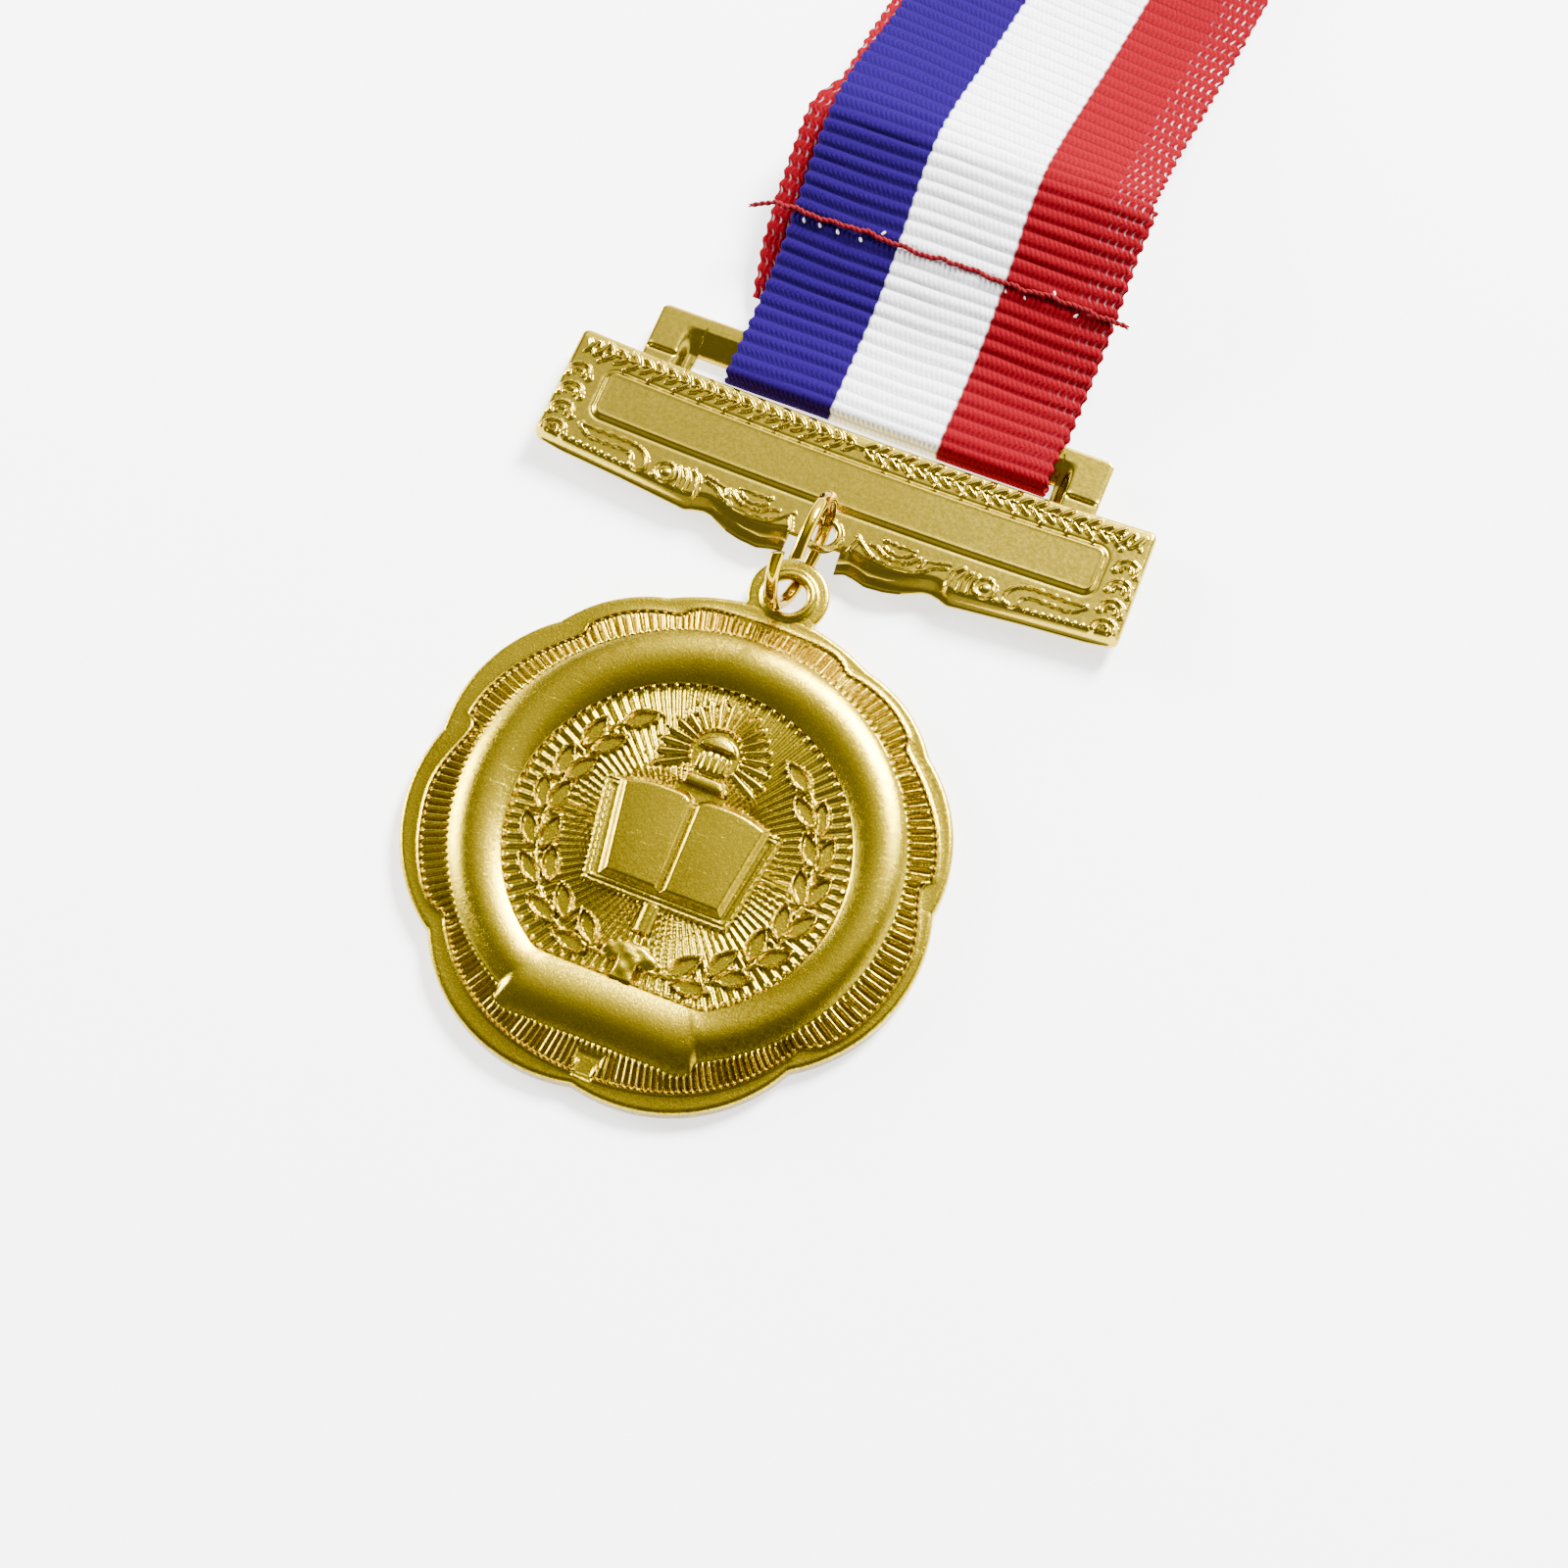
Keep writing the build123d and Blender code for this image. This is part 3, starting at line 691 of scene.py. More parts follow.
# lug: a pierced disc with a raised rounded rim, in one plane with the flange
def lug():
    cx, cy, hole, n = -0.75, -12.95, 1.75, 180
    a = np.arange(n) * 2 * math.pi / n
    ca, sa = np.sin(a), np.cos(a)
    out = np.full(n, 3.9)
    # webs into the medallion on both sides and the root under the flange
    down = sa < 0
    root = np.where(down, 4.6 / np.maximum(-sa, 0.2), 99)
    half = np.where(down, (4.1 + 0.0 * a) / np.maximum(np.abs(ca), 1e-3), 99)
    out = np.where(down & (np.abs(ca) < 0.80), np.minimum(root, half), out)
    k = np.ones(9) / 9
    out = np.convolve(np.concatenate([out[-8:], out, out[:8]]), k, "same")[8:-8]
    loops = []
    for r, z in ((hole + 0.10, 1.20), (hole, 1.30), (hole, 1.62), (hole + 0.05, 1.78), (hole + 0.18, 1.92), (hole + 0.38, 1.99),
                 (hole + 0.60, 1.97), (hole + 0.80, 1.86), (hole + 0.95, 1.72), (hole + 1.08, 1.655), (hole + 1.3, 1.64)):
        loops.append((np.full(n, r), np.full(n, z)))
    loops.append((out - 0.42, np.full(n, 1.64)))
    for g in (25, 50, 75, 90):
        c, s = math.cos(math.radians(g)), math.sin(math.radians(g))
        loops.append((out - 0.25 + 0.25 * s, np.full(n, 1.39 + 0.25 * c)))
    loops.append((out - 0.03, np.full(n, 1.22)))
    loops.append((out - 0.15, np.full(n, 1.19)))
    loops.append((np.full(n, hole + 0.35), np.full(n, 1.19)))
    v = np.concatenate([np.stack([cx + r * ca, cy + r * sa, z], -1) for r, z in loops])
    m = len(loops)
    f = [rows(0, m, n, flip=True)]
    last = (m - 1) * n + np.arange(n)
    f.append(np.stack([last, np.roll(last, -1), np.roll(np.arange(n), -1), np.arange(n)], -1)[:, ::-1])
    return v, f


lv, lf = lug()
lug_ob = make("medal_lug", lv, lf, "medal", [MEDAL_GOLD], angle=55)

# ------------------------------------------------------------------ camera
tilt, roll, spin = math.radians(-20.80), math.radians(-0.18), math.radians(-21.79)


def rx(a):
    return np.array([[1, 0, 0], [0, math.cos(a), -math.sin(a)], [0, math.sin(a), math.cos(a)]])


def rz(a):
    return np.array([[math.cos(a), -math.sin(a), 0], [math.sin(a), math.cos(a), 0], [0, 0, 1]])


R = rz(roll) @ rx(tilt) @ rz(spin)
target = np.array([5.74, -30.16 + BASE_Y, 0.0])
place = target + R.T @ np.array([0, 0, 304.1])
cam_data = bpy.data.cameras.new("camera")
cam_data.sensor_width = 36.0
cam_data.lens = 3337.7 / 1600 * 36
cam_data.clip_start, cam_data.clip_end = 0.01, 10
cam = bpy.data.objects.new("camera", cam_data)
scene.collection.objects.link(cam)
mw = np.eye(4)
mw[:3, :3] = R.T
mw[:3, 3] = place * MM
cam.matrix_world = Matrix(mw.tolist())
scene.camera = cam

# ------------------------------------------------------------------ hanger bar
def tube(xs, outer, inner):
    """A closed shell: at each x an outer and an inner line of (y, z), joined at their ends, capped at both x ends."""
    n, m = outer.shape[:2]
    k = inner.shape[1]
    sec = np.concatenate([outer, inner[:, ::-1]], 1)
    w = m + k
    v = np.empty((n, w, 3))
    v[:, :, 0] = xs if np.ndim(xs) == 2 else np.asarray(xs)[:, None]
    v[:, :, 1:] = sec
    f = [rows(0, n, w, flip=False)]
    caps = [np.arange(w)[None, :][:, ::-1], ((n - 1) * w + np.arange(w))[None, :]]
    return v.reshape(-1, 3), f, caps


CREASE = np.array([(0, -7.1), (2.5, -7.0), (3.4, -6.95), (4.6, -7.3), (6.5, -7.45), (8.5, -7.25), (10.2, -6.9),
                   (11.4, -6.65), (12.3, -6.8), (13.2, -7.25), (14.2, -7.3), (20.5, -6.75), (28.5, -6.0), (30, -5.9)])
LOW = np.array([(0, -9.5), (1.2, -9.5), (2.2, -9.1), (3.3, -8.7), (4.2, -8.85), (5.5, -9.2), (7.3, -9.05), (8.8, -8.7),
                (9.9, -8.2), (10.7, -7.8), (11.5, -7.7), (12.5, -7.9), (13.3, -8.22), (14.2, -8.1), (20.4, -7.4),
                (26.5, -6.85), (30, -6.4)])
EYE = (0.10, -6.32, 1.25)


def soft_interp(x, table, width=0.35):
    s = 0
    for d in (-1, -0.5, 0, 0.5, 1):
        s = s + np.interp(np.abs(x + d * width), table[:, 0], table[:, 1])
    return s / 5


def sag(x, edge, mid):
    return mid + (edge - mid) * (np.abs(x) / 29.0) ** 2


def bp(px, py):
    return px + 0.59, py - 0.35


def bar_relief(x, y):
    """Embossed ornament of the bar above its plain surface."""
    h = np.zeros_like(x)
    # wreath of slanted leaves along the top, both halves pointing outwards
    for side in (-1, 1):
        for k in range(20):
            x0 = side * (26.4 - 1.325 * k)
            dy = sag(np.array(x0), 0.0, -0.45)
            if abs(x0) < 0.7:
                continue
            big = k % 2 == 0
            for a, b, wd, rs in (
                ((x0 - side * 0.78, 4.02), (x0 + side * 0.30, 5.10 if big else 4.85), 0.66, 0.30),
                ((x0 - side * 0.78, 3.92), (x0 + side * 0.22, 3.02 if big else 3.2), 0.58, 0.26),
                ((x0 - side * 0.95, 3.98), (x0 + side * 0.15, 3.97), 0.26, 0.18),
            ):
                c = curve([(a[0], a[1] + dy), ((a[0] + b[0]) / 2 - side * 0.06, (a[1] + b[1]) / 2 + dy + 0.05), (b[0], b[1] + dy)], 3)
                stroke(h, x, y, c, wd * 0.88, rs, taper=0.5)
            if big:
                stroke(h, x, y, [(x0 + side * 0.4, 2.86 + dy), (x0 + side * 0.45, 2.90 + dy)], 0.46, 0.27)
    # scrolls at both ends
    for side in (-1, 1):
        cx = side * 28.1
        for cy in (1.45, -0.75, -2.95, -5.05):
            th = np.linspace(-0.35, math.pi + 0.35, 14)
            stroke(h, x, y, np.stack([cx + 1.12 * np.cos(th), cy - 0.45 + 0.95 * np.sin(th)], -1), 0.36, 0.24)
            stroke(h, x, y, np.stack([cx + 0.48 * np.cos(th), cy - 0.60 + 0.42 * np.sin(th)], -1), 0.30, 0.22)
            for s in (-1, 1):
                stroke(h, x, y, [(cx + s * 1.18, cy - 0.78), (cx + s * 1.02, cy - 0.95)], 0.50, 0.26)
        for dx in (0.0, -1.15):
            stroke(h, x, y, curve([(cx + side * dx - 0.5, 3.25), (cx + side * dx, 4.0), (cx + side * dx + 0.5, 4.75)], 4), 0.62, 0.26, 0.5)
            stroke(h, x, y, curve([(cx + side * dx + 0.5, 3.25), (cx + side * dx, 4.0), (cx + side * dx - 0.5, 4.75)], 4), 0.42, 0.2, 0.5)
    # scrollwork along the lower border
    lines = [
        ([(-26.3, -3.6), (-25, -3.75), (-23, -3.75), (-21, -3.8), (-19.8, -4.1), (-19.1, -4.6), (-18.7, -5.2)], 0.34, 0.22),
        ([(-26.4, -3.7), (-25.6, -4.4), (-24.6, -4.75), (-22, -4.75), (-20.7, -4.9), (-20.3, -5.4), (-20.3, -5.9), (-19.6, -6.3), (-18.8, -5.9), (-18.7, -5.2)], 0.34, 0.22),
        ([(-15.7, -4.55), (-15.25, -5.4), (-15.3, -6.5)], 0.42, 0.24),
        ([(-15.0, -4.45), (-14.4, -5.4), (-14.4, -6.6)], 0.42, 0.24),
        ([(-14.2, -4.3), (-13.5, -5.0), (-13.3, -6.0), (-13.3, -7.0)], 0.44, 0.26),
        ([(-12.9, -4.4), (-11.5, -4.7), (-10.4, -4.9)], 0.30, 0.18),
        ([(-10.5, -5.0), (-10.3, -5.6)], 0.46, 0.24),
        ([(-12.6, -4.9), (-11.5, -5.3), (-10.6, -6.0), (-9.2, -6.5), (-7.2, -6.65), (-5.6, -6.35), (-4.5, -5.6), (-3.7, -4.9)], 0.36, 0.24),
        ([(-9.9, -4.9), (-9.4, -5.55), (-8.3, -5.98), (-6.9, -5.9), (-5.9, -5.35), (-5.2, -5.2)], 0.34, 0.22),
        ([(-9.3, -4.75), (-8.8, -5.15), (-8.0, -5.35), (-7.0, -5.3), (-6.4, -5.0)], 0.28, 0.18),
        ([(-9.4, -4.35), (-8.0, -4.42), (-6.6, -4.3)], 0.26, 0.16),
        ([(-6.45, -4.32), (-6.35, -4.32)], 0.52, 0.26),
        ([(-3.9, -5.4), (-3.5, -6.3), (-3.3, -7.2)], 0.40, 0.22),
        ([(-18.0, -6.2), (-17.9, -6.3)], 0.40, 0.2),
    ]
    th = np.linspace(0, 2 * math.pi, 22)
    lines.append((np.stack([-16.75 + 1.0 * np.cos(th), -5.45 + 1.0 * np.sin(th)], -1), 0.36, 0.24))
    lines.append(([(-16.8, -5.45), (-16.7, -5.45)], 0.80, 0.14))
    for pts, wd, rs in lines:
        p = np.asarray(pts, float)
        c = curve(p, 5) if 2 < len(p) < 20 else p
        for side in (1, -1):
            q = c.copy()
            q[:, 0] = side * (q[:, 0] + 0.45)
            q[:, 1] -= 0.35
            stroke(h, x, y, q, wd, rs)
    for side in (-1, 1):
        for k in range(9):
            x0 = 20.6 + 0.78 * k
            stroke(h, x, y, [(side * x0, -6.50 + 0.10 * k * 0.78), (side * (x0 + 0.02), -6.50 + 0.10 * k * 0.78)], 0.40, 0.18)
    return h


def bar():
    L0, L1 = 29.60, 29.85
    inner_x = np.concatenate([[0.0, 0.0, 0.05, 0.14, 0.28, 0.45], np.arange(0.56, 29.2, 0.11)])
    u = np.concatenate([-(29.6 - inner_x), (29.6 - inner_x)[::-1]])
    n = len(u)
    end = 29.6 - np.abs(u)                      # distance from the end, before the slant
    first = np.zeros(n, bool)
    first[[0, -1]] = True
    notch = (u > -3.0) & (u < 2.3)
    yc = soft_interp(u, CREASE)
    yb = soft_interp(u, LOW, 0.2)
    yt = sag(u, 5.75, 5.0)
    eye_low = EYE[1] - np.sqrt(np.maximum(1.78**2 - (u - EYE[0]) ** 2, 0))
    eye_low = np.where(np.abs(u - EYE[0]) < 1.6, eye_low, -7.25)
    yc = np.where(notch, np.minimum(eye_low + 0.30, -7.05), yc)
    yb = np.where(notch, np.minimum(eye_low, -7.30), yb)
    z_low = np.where(notch, 2.34, 1.42)
    cols = []
    # lower wall
    for t, r in ((-0.10, 0.0), (-0.13, 0.09), (-0.09, 0.16), (0.04, 0.18), (0.16, 0.20), (0.5, 0.55), (0.85, 0.92)):
        low = np.where(notch, np.maximum(t, 0.0), t)
        cols.append((yb + (yc - yb) * low, z_low + (2.72 - z_low) * r))
    m = 112
    tt = np.concatenate([[0.0, 0.004], np.linspace(0.012, 0.962, m), [0.975, 0.987, 0.996, 1.0]])
    for t in tt:
        y = yc + (yt - yc) * t
        d_top = yt - y
        z = np.full(n, 2.80)
        z = z - 0.05 * sstep(1.0, 0.35, d_top)
        z = z - 0.40 * (1 - np.sqrt(np.clip(1 - (1 - np.clip(d_top / 0.40, 0, 1)) ** 2, 0, 1)))
        z = z - 0.10 * sstep(0.35, 0.0, y - yc) * ~notch
        cols.append((y, z))
    cols.append((yt, np.full(n, 1.9)))
    cols.append((yt, np.full(n, 1.42)))
    Y = np.stack([c[0] for c in cols], 1)
    Z = np.stack([c[1] for c in cols], 1)
    slant = 1 + (L1 / L0 - 1) * np.clip((5.75 - Y) / 12.0, 0, 1)
    X = u[:, None] * slant
    r_c = 0.75                                    # rounded outer corners
    near = np.clip(r_c - np.minimum(yt[:, None] - Y, Y - yb[:, None]), 0, r_c)
    X = X - np.sign(u)[:, None] * (r_c - np.sqrt(r_c**2 - near**2)) * np.clip(1 - end / 3.0, 0, 1)[:, None]
    # ornament, panel and eyelet on the upper face
    top = slice(7, 7 + len(tt))
    x, y = X[:, top], Y[:, top]
    h = bar_relief(x, y)
    pt, pb = sag(x, 2.55, 1.95), sag(x, -2.75, -3.40)
    dx_ = np.minimum(x + 25.55, 25.95 - x)
    d = np.minimum(dx_, np.minimum(pt - y, y - pb))
    cr = 1.15                                     # rounded corners
    qx, qy = cr - dx_, cr - np.minimum(pt - y, y - pb)
    corner = (qx > 0) & (qy > 0)
    d = np.where(corner, cr - np.hypot(qx, qy), d)
    panel = 0.26 * sstep(0.0, 0.42, d) + 0.02 * np.exp(-((d - 0.45) / 0.15) ** 2)
    h = np.where(d > 0, panel, h)
    h = h - 0.05 * np.exp(-((d + 0.12) / 0.12) ** 2)
    er = np.hypot(x - EYE[0], y - EYE[1])
    q = (er - 1.52) / 0.40
    rim = 0.34 * np.sqrt(np.clip(1 - q**2, 0, 1))
    h = np.where(er < 1.95, np.maximum(rim, np.where(er < 1.5, 0.2, 0)), h)
    Z[:, top] += 1.2 * h * sstep(0.15, 0.6, (yt[:, None] - y)) * sstep(0.1, 0.5, end[:, None])
    # ends turned down
    drop = 0.42 * (1 - np.sqrt(np.clip(1 - (1 - np.clip(end / 0.42, 0, 1)) ** 2, 0, 1)))
    Z = np.maximum(Z - drop[:, None], 1.40)
    Z[first] = 1.40
    # inner side of the sheet
    IY, IZ = [], []
    t_in = np.array([0.0, 0.03, 0.10, 0.30, 0.5, 0.7, 0.9, 0.97, 1.0])
    for t in t_in:
        yy = (yb + 0.48) + ((yt - 0.48) - (yb + 0.48)) * t
        zz = np.full(n, 2.30)
        if t in (0.0, 1.0):
            zz = np.full(n, 1.42) if t == 1.0 else z_low
        elif t in (0.03, 0.97):
            zz = np.where(notch & (t < 0.5), 2.34, 2.22)
        IY.append(np.where(notch & (t < 0.1), yb + 0.1 + t, yy))
        IZ.append(np.where(notch & (t < 0.5), np.minimum(zz, 2.30), zz))
    IY, IZ = np.stack(IY, 1), np.stack(IZ, 1)
    IZ = np.where((end < 0.44)[:, None], 1.40, IZ)
    v, f, caps = tube(np.concatenate([X, np.repeat(u[:, None], len(t_in), 1)], 1), np.stack([Y, Z], -1), np.stack([IY, IZ], -1))
    return v, f, caps


bv, bf, bc = bar()
bar_ob = make("bar_plate", bv, bf + bc, "hanger", [BAR_GOLD], angle=50)
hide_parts("hanger_bar")


def cut(ob, x, y, radius, z0, z1, n=72):
    a = np.arange(n) * 2 * math.pi / n
    v = np.concatenate([np.stack([x + radius * np.cos(a), y + radius * np.sin(a), np.full(n, z)], -1) for z in (z0, z1)])
    tool = make("tool", v, [rows(0, 2, n), np.arange(n)[None, ::-1], (n + np.arange(n))[None, :]])
    md = ob.modifiers.new("cut", "BOOLEAN")
    md.operation = "DIFFERENCE"
    md.object = tool
    md.solver = "MANIFOLD"
    before = len(ob.data.polygons)
    dg = bpy.context.evaluated_depsgraph_get()
    new = bpy.data.meshes.new_from_object(ob.evaluated_get(dg))
    ob.modifiers.clear()
    if len(new.polygons) > before * 0.8:
        ob.data = new
        new.polygons.foreach_set("use_smooth", np.ones(len(new.polygons), bool))
        new.set_sharp_from_angle(angle=math.radians(50))
    bpy.data.objects.remove(tool)
    return before, len(new.polygons)


print("cut", cut(bar_ob, EYE[0], EYE[1], EYE[2], 0.5, 5.0))


# slotted ribbon frame behind the bar, part of the same sheet
def ribbon_frame():
    x0, x1 = -23.6, 23.3
    e = np.array([0.0, 0.0, 0.04, 0.12, 0.25])
    xs = np.concatenate([x0 + e, np.arange(x0 + 0.4, x1 - 0.35, 0.2), (x1 - e)[::-1]])
    for g in (-20.6, -20.4, -18.75, -18.6, 18.45, 18.6, 19.6, 19.8):
        xs[np.argmin(np.abs(xs - g))] = g
    n = len(xs)
    end = np.minimum(xs - x0, x1 - xs)
    c = np.clip(0.75 - end, 0, 0.75)
    hi = 11.5 - (0.75 - np.sqrt(0.75**2 - c**2))
    window = (xs > -18.70) & (xs < 18.5)
    lo = np.where(window, 7.75, 4.9)
    tt = np.concatenate([[0, 0.0, 0.015, 0.03], np.linspace(0.06, 0.94, 44), [0.97, 0.985, 1.0, 1.0]])
    Y = lo[:, None] + (hi - lo)[:, None] * tt[None, :]
    X = np.repeat(xs[:, None], len(tt), 1)
    slope = sstep(-20.7, -19.2, X) * sstep(19.9, 18.9, X)
    fall = np.clip((10.0 - Y) / 2.25, 0, 1)
    Z = 2.10 - 1.22 * fall * slope
    # a step pressed between tab and bar, with a round dimple at each end
    for a, b in ((-23.3, -20.5), (20.1, 22.9)):
        d = np.maximum(np.maximum(a - X, X - b), 0)
        Z -= 0.30 * np.exp(-((Y - 6.62) / 0.16) ** 2) * np.exp(-((d) / 0.10) ** 2)
        for q in (a - 0.05, b + 0.05):
            Z += 0.16 * np.exp(-(((Y - 6.75) / 0.22) ** 2 + ((X - q) / 0.22) ** 2))
    Z += (0.08 * np.exp(-((X + 18.95) / 0.25) ** 2) + 0.08 * np.exp(-((X - 18.75) / 0.25) ** 2)) * (Y < 9.4)
    dtop = hi[:, None] - Y
    rnd = np.minimum(np.minimum(end[:, None], dtop), Y - lo[:, None])
    Z = Z - 0.22 * (1 - np.sqrt(np.clip(1 - (1 - np.clip(rnd / 0.22, 0, 1)) ** 2, 0, 1)))
    base = 2.10 - 1.22 * np.clip((10.0 - Y) / 2.25, 0, 1) * slope - 0.5
    Z[:, [0, -1]] = base[:, [0, -1]] + 0.02
    Z[[0, -1]] = base[[0, -1]] + 0.02
    pick = [0, 12, 24, 36, 47, len(tt) - 1]
    IY, IZ = Y[:, pick], base[:, pick]
    v, f, caps = tube(np.concatenate([X, X[:, pick]], 1), np.stack([Y, Z], -1), np.stack([IY, IZ], -1))
    return v, f, caps


rv, rf, rc = ribbon_frame()
frame_ob = make("ribbon_frame", rv, rf + rc, "hanger", [BAR_GOLD], angle=50)


# ------------------------------------------------------------------ jump ring
def jump_ring():
    R, zc = 5.6, 6.13
    yaw = math.radians(6.0)
    cx, cy = -0.450, -9.982
    n = 260
    gap = 8.0
    # psi: angle from +y towards +z; the opening is 33 degrees past the top towards -y
    mid = 90 + 33
    psi = np.radians(np.linspace(mid + gap / 2, mid + 360 - gap / 2, n))
    s = np.linspace(0, 1, n)
    off = 0.75 * np.exp(-((1 - s) / 0.16) ** 1.5) - 0.95 * np.exp(-((s) / 0.16) ** 1.5)
    # section: flat sides and crowned outer faces
    sec = [(0.10, 0.56), (0.36, 0.50), (0.58, 0.26), (0.62, 0.05), (0.58, -0.24), (0.40, -0.44), (0.12, -0.50),
           (-0.12, -0.50), (-0.40, -0.44), (-0.58, -0.24), (-0.62, 0.05), (-0.58, 0.26), (-0.36, 0.50), (-0.10, 0.56)]
    sec = np.array(sec)                                # axial, radial
    sub = []
    for k in range(len(sec)):
        a, b = sec[k], sec[(k + 1) % len(sec)]
        sub += [a, a * 0.6 + b * 0.4 + (a + b) * 0.004]
    sec = np.array(sub)
    m = len(sec)
    ax = np.array([math.cos(yaw), -math.sin(yaw), 0])
    fw = np.array([math.sin(yaw), math.cos(yaw), 0])
    up = np.array([0, 0, 1.0])
    V = []
    for k in range(n):
        rad = math.cos(psi[k]) * fw + math.sin(psi[k]) * up
        c = np.array([cx, cy, zc]) + R * rad + ax * off[k]
        pinch = 1.0
        V.append(c + sec[:, :1] * pinch * ax + sec[:, 1:] * pinch * rad)
    # cut ends: sheared to a chisel point and slightly rounded
    tang0 = -math.sin(psi[0]) * fw + math.cos(psi[0]) * up
    tang1 = -math.sin(psi[-1]) * fw + math.cos(psi[-1]) * up
    V[0] = V[0] - tang0 * (0.45 * (sec[:, :1] + 0.6))
    V[1] = V[1] - tang0 * (0.38 * (sec[:, :1] + 0.6))
    V[2] = V[2] - tang0 * (0.30 * (sec[:, :1] + 0.6))
    V[-1] = V[-1] + tang1 * (0.55 * (0.6 - sec[:, :1]))
    V[-2] = V[-2] + tang1 * (0.46 * (0.6 - sec[:, :1]))
    V[-3] = V[-3] + tang1 * (0.36 * (0.6 - sec[:, :1]))
    c0, c1 = V[0].mean(0), V[-1].mean(0)
    end0 = c0 + (V[0] - c0) * 0.72 - tang0 * 0.10
    end1 = c1 + (V[-1] - c1) * 0.72 + tang1 * 0.10
    V = [end0] + V + [end1]
    v = np.concatenate(V)
    f = [rows(0, len(V), m, flip=True), np.arange(m)[None, :], ((len(V) - 1) * m + np.arange(m))[None, ::-1]]
    return v, f


jv, jf = jump_ring()
ring_ob = make("open_ring", jv, jf, "ring", [RING_GOLD], angle=38)
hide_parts("jump_ring")

# ------------------------------------------------------------------ ribbon
PITCH = 1.42
HALF_W = 16.5


def attr(t, name):
    n = t.nodes.new("ShaderNodeAttribute")
    n.attribute_name = name
    return n.outputs["Fac"]


def fabric(name):
    m, t, p = nodes_of(name)
    across, along = attr(t, "across"), attr(t, "along")
    xmm = math_node(t, "MULTIPLY", across, HALF_W)
    comb = t.nodes.new("ShaderNodeCombineXYZ")
    t.links.new(xmm, comb.inputs[0])
    t.links.new(along, comb.inputs[1])
    vec = comb.outputs[0]
    coarse = noise(t, 0.35, 3, 0.5, vec)
    fine = noise(t, 2.6, 4, 0.6, vec)
    # stripes with slightly uneven borders
    edge = math_node(t, "ADD", across, math_node(t, "MULTIPLY", math_node(t, "SUBTRACT", fine, 0.5), 0.012))
    blue, white, red = (0.010, 0.0, 0.070), (0.97, 0.97, 0.98), (0.155, 0.0, 0.0045)
    base = ramp(t, math_node(t, "ADD", math_node(t, "MULTIPLY", edge, 0.5), 0.5), [
        (0.0, blue), (0.3290, blue), (0.3345, white), (0.6600, white), (0.6655, red), (1.0, red)])
    # ribs: yarns packed side by side over each rib; painted shade darkens the base colour in the grooves and painted
    # highlight lightens the yarn strokes on the crests
    ribs = math_node(t, "ABSOLUTE", math_node(t, "COSINE", math_node(t, "MULTIPLY", along, math.pi / PITCH), 0.0))
    row = math_node(t, "FLOOR", math_node(t, "ADD", math_node(t, "DIVIDE", along, PITCH), 0.5), 0.0)
    twist = math_node(t, "ADD", math_node(t, "MULTIPLY", xmm, 2 * math.pi / 0.52),
                      math_node(t, "ADD", math_node(t, "MULTIPLY", along, 3.4), math_node(t, "MULTIPLY", row, 2.3)))
    twist = math_node(t, "ADD", twist, math_node(t, "MULTIPLY", fine, 3.0))
    yarn = math_node(t, "ADD", math_node(t, "MULTIPLY", math_node(t, "SINE", twist, 0.0), 0.5), 0.5)
    # painted shade mask: 0 in the rib grooves, 1 on the crests
    painted_groove_shade = value_ramp(t, ribs, 0.0, 0.55, 0.0, 1.0)
    # painted shade and highlight: the crest value is lifted along the slanted yarn strokes
    painted_rib_shade = value_ramp(t, math_node(t, "MULTIPLY", painted_groove_shade, math_node(t, "ADD", math_node(t, "MULTIPLY", yarn, 0.55), 0.45)), 0.0, 1.0, 0.0, 1.0)
    # multiplies the stripe colour by the painted shade and highlight ramp (grey-blue in the grooves, white on the
    # crests)
    dark = t.nodes.new("ShaderNodeMix")
    dark.data_type = "RGBA"
    dark.blend_type = "MULTIPLY"
    dark.inputs[0].default_value = 1.0
    t.links.new(base, dark.inputs[6])
    t.links.new(ramp(t, painted_rib_shade, [(0.0, (0.50, 0.50, 0.56)), (0.5, (0.88, 0.88, 0.90)), (1.0, (1.0, 1.0, 1.0))]), dark.inputs[7])
    out = dark.outputs[2]
    # open weave with pale specks beside the right-hand selvedge
    cell = math_node(t, "MULTIPLY", math_node(t, "SINE", math_node(t, "MULTIPLY", xmm, 2 * math.pi / 0.80), 0.0),
                     math_node(t, "SINE", math_node(t, "MULTIPLY", along, math.pi / PITCH), 0.0))
    speck = math_node(t, "MULTIPLY", value_ramp(t, cell, 0.62, 0.9, 0.0, 0.8), math_node(t, "MULTIPLY", value_ramp(t, across, 0.74, 0.95, 0.0, 1.0), attr(t, "open")))
    speck = math_node(t, "MULTIPLY", speck, value_ramp(t, coarse, 0.42, 0.6, 0.25, 1.0))
    mx = t.nodes.new("ShaderNodeMix")
    mx.data_type = "RGBA"
    t.links.new(speck, mx.inputs[0])
    t.links.new(out, mx.inputs[6])
    mx.inputs[7].default_value = (0.85, 0.75, 0.78, 1)
    t.links.new(mx.outputs[2], p.inputs["Base Color"])
    p.inputs["Roughness"].default_value = 0.7
    p.inputs["Specular IOR Level"].default_value = 0.03
    p.inputs["Sheen Weight"].default_value = 0.0
    p.inputs["Sheen Roughness"].default_value = 0.4
    h = math_node(t, "ADD", math_node(t, "MULTIPLY", yarn, math_node(t, "ADD", math_node(t, "MULTIPLY", ribs, 0.8), 0.2)), math_node(t, "MULTIPLY", fine, 0.7))
    b = t.nodes.new("ShaderNodeBump")
    b.inputs["Strength"].default_value = 0.75
    b.inputs["Distance"].default_value = 0.00011
    t.links.new(h, b.inputs["Height"])
    t.links.new(b.outputs["Normal"], p.inputs["Normal"])
    return m


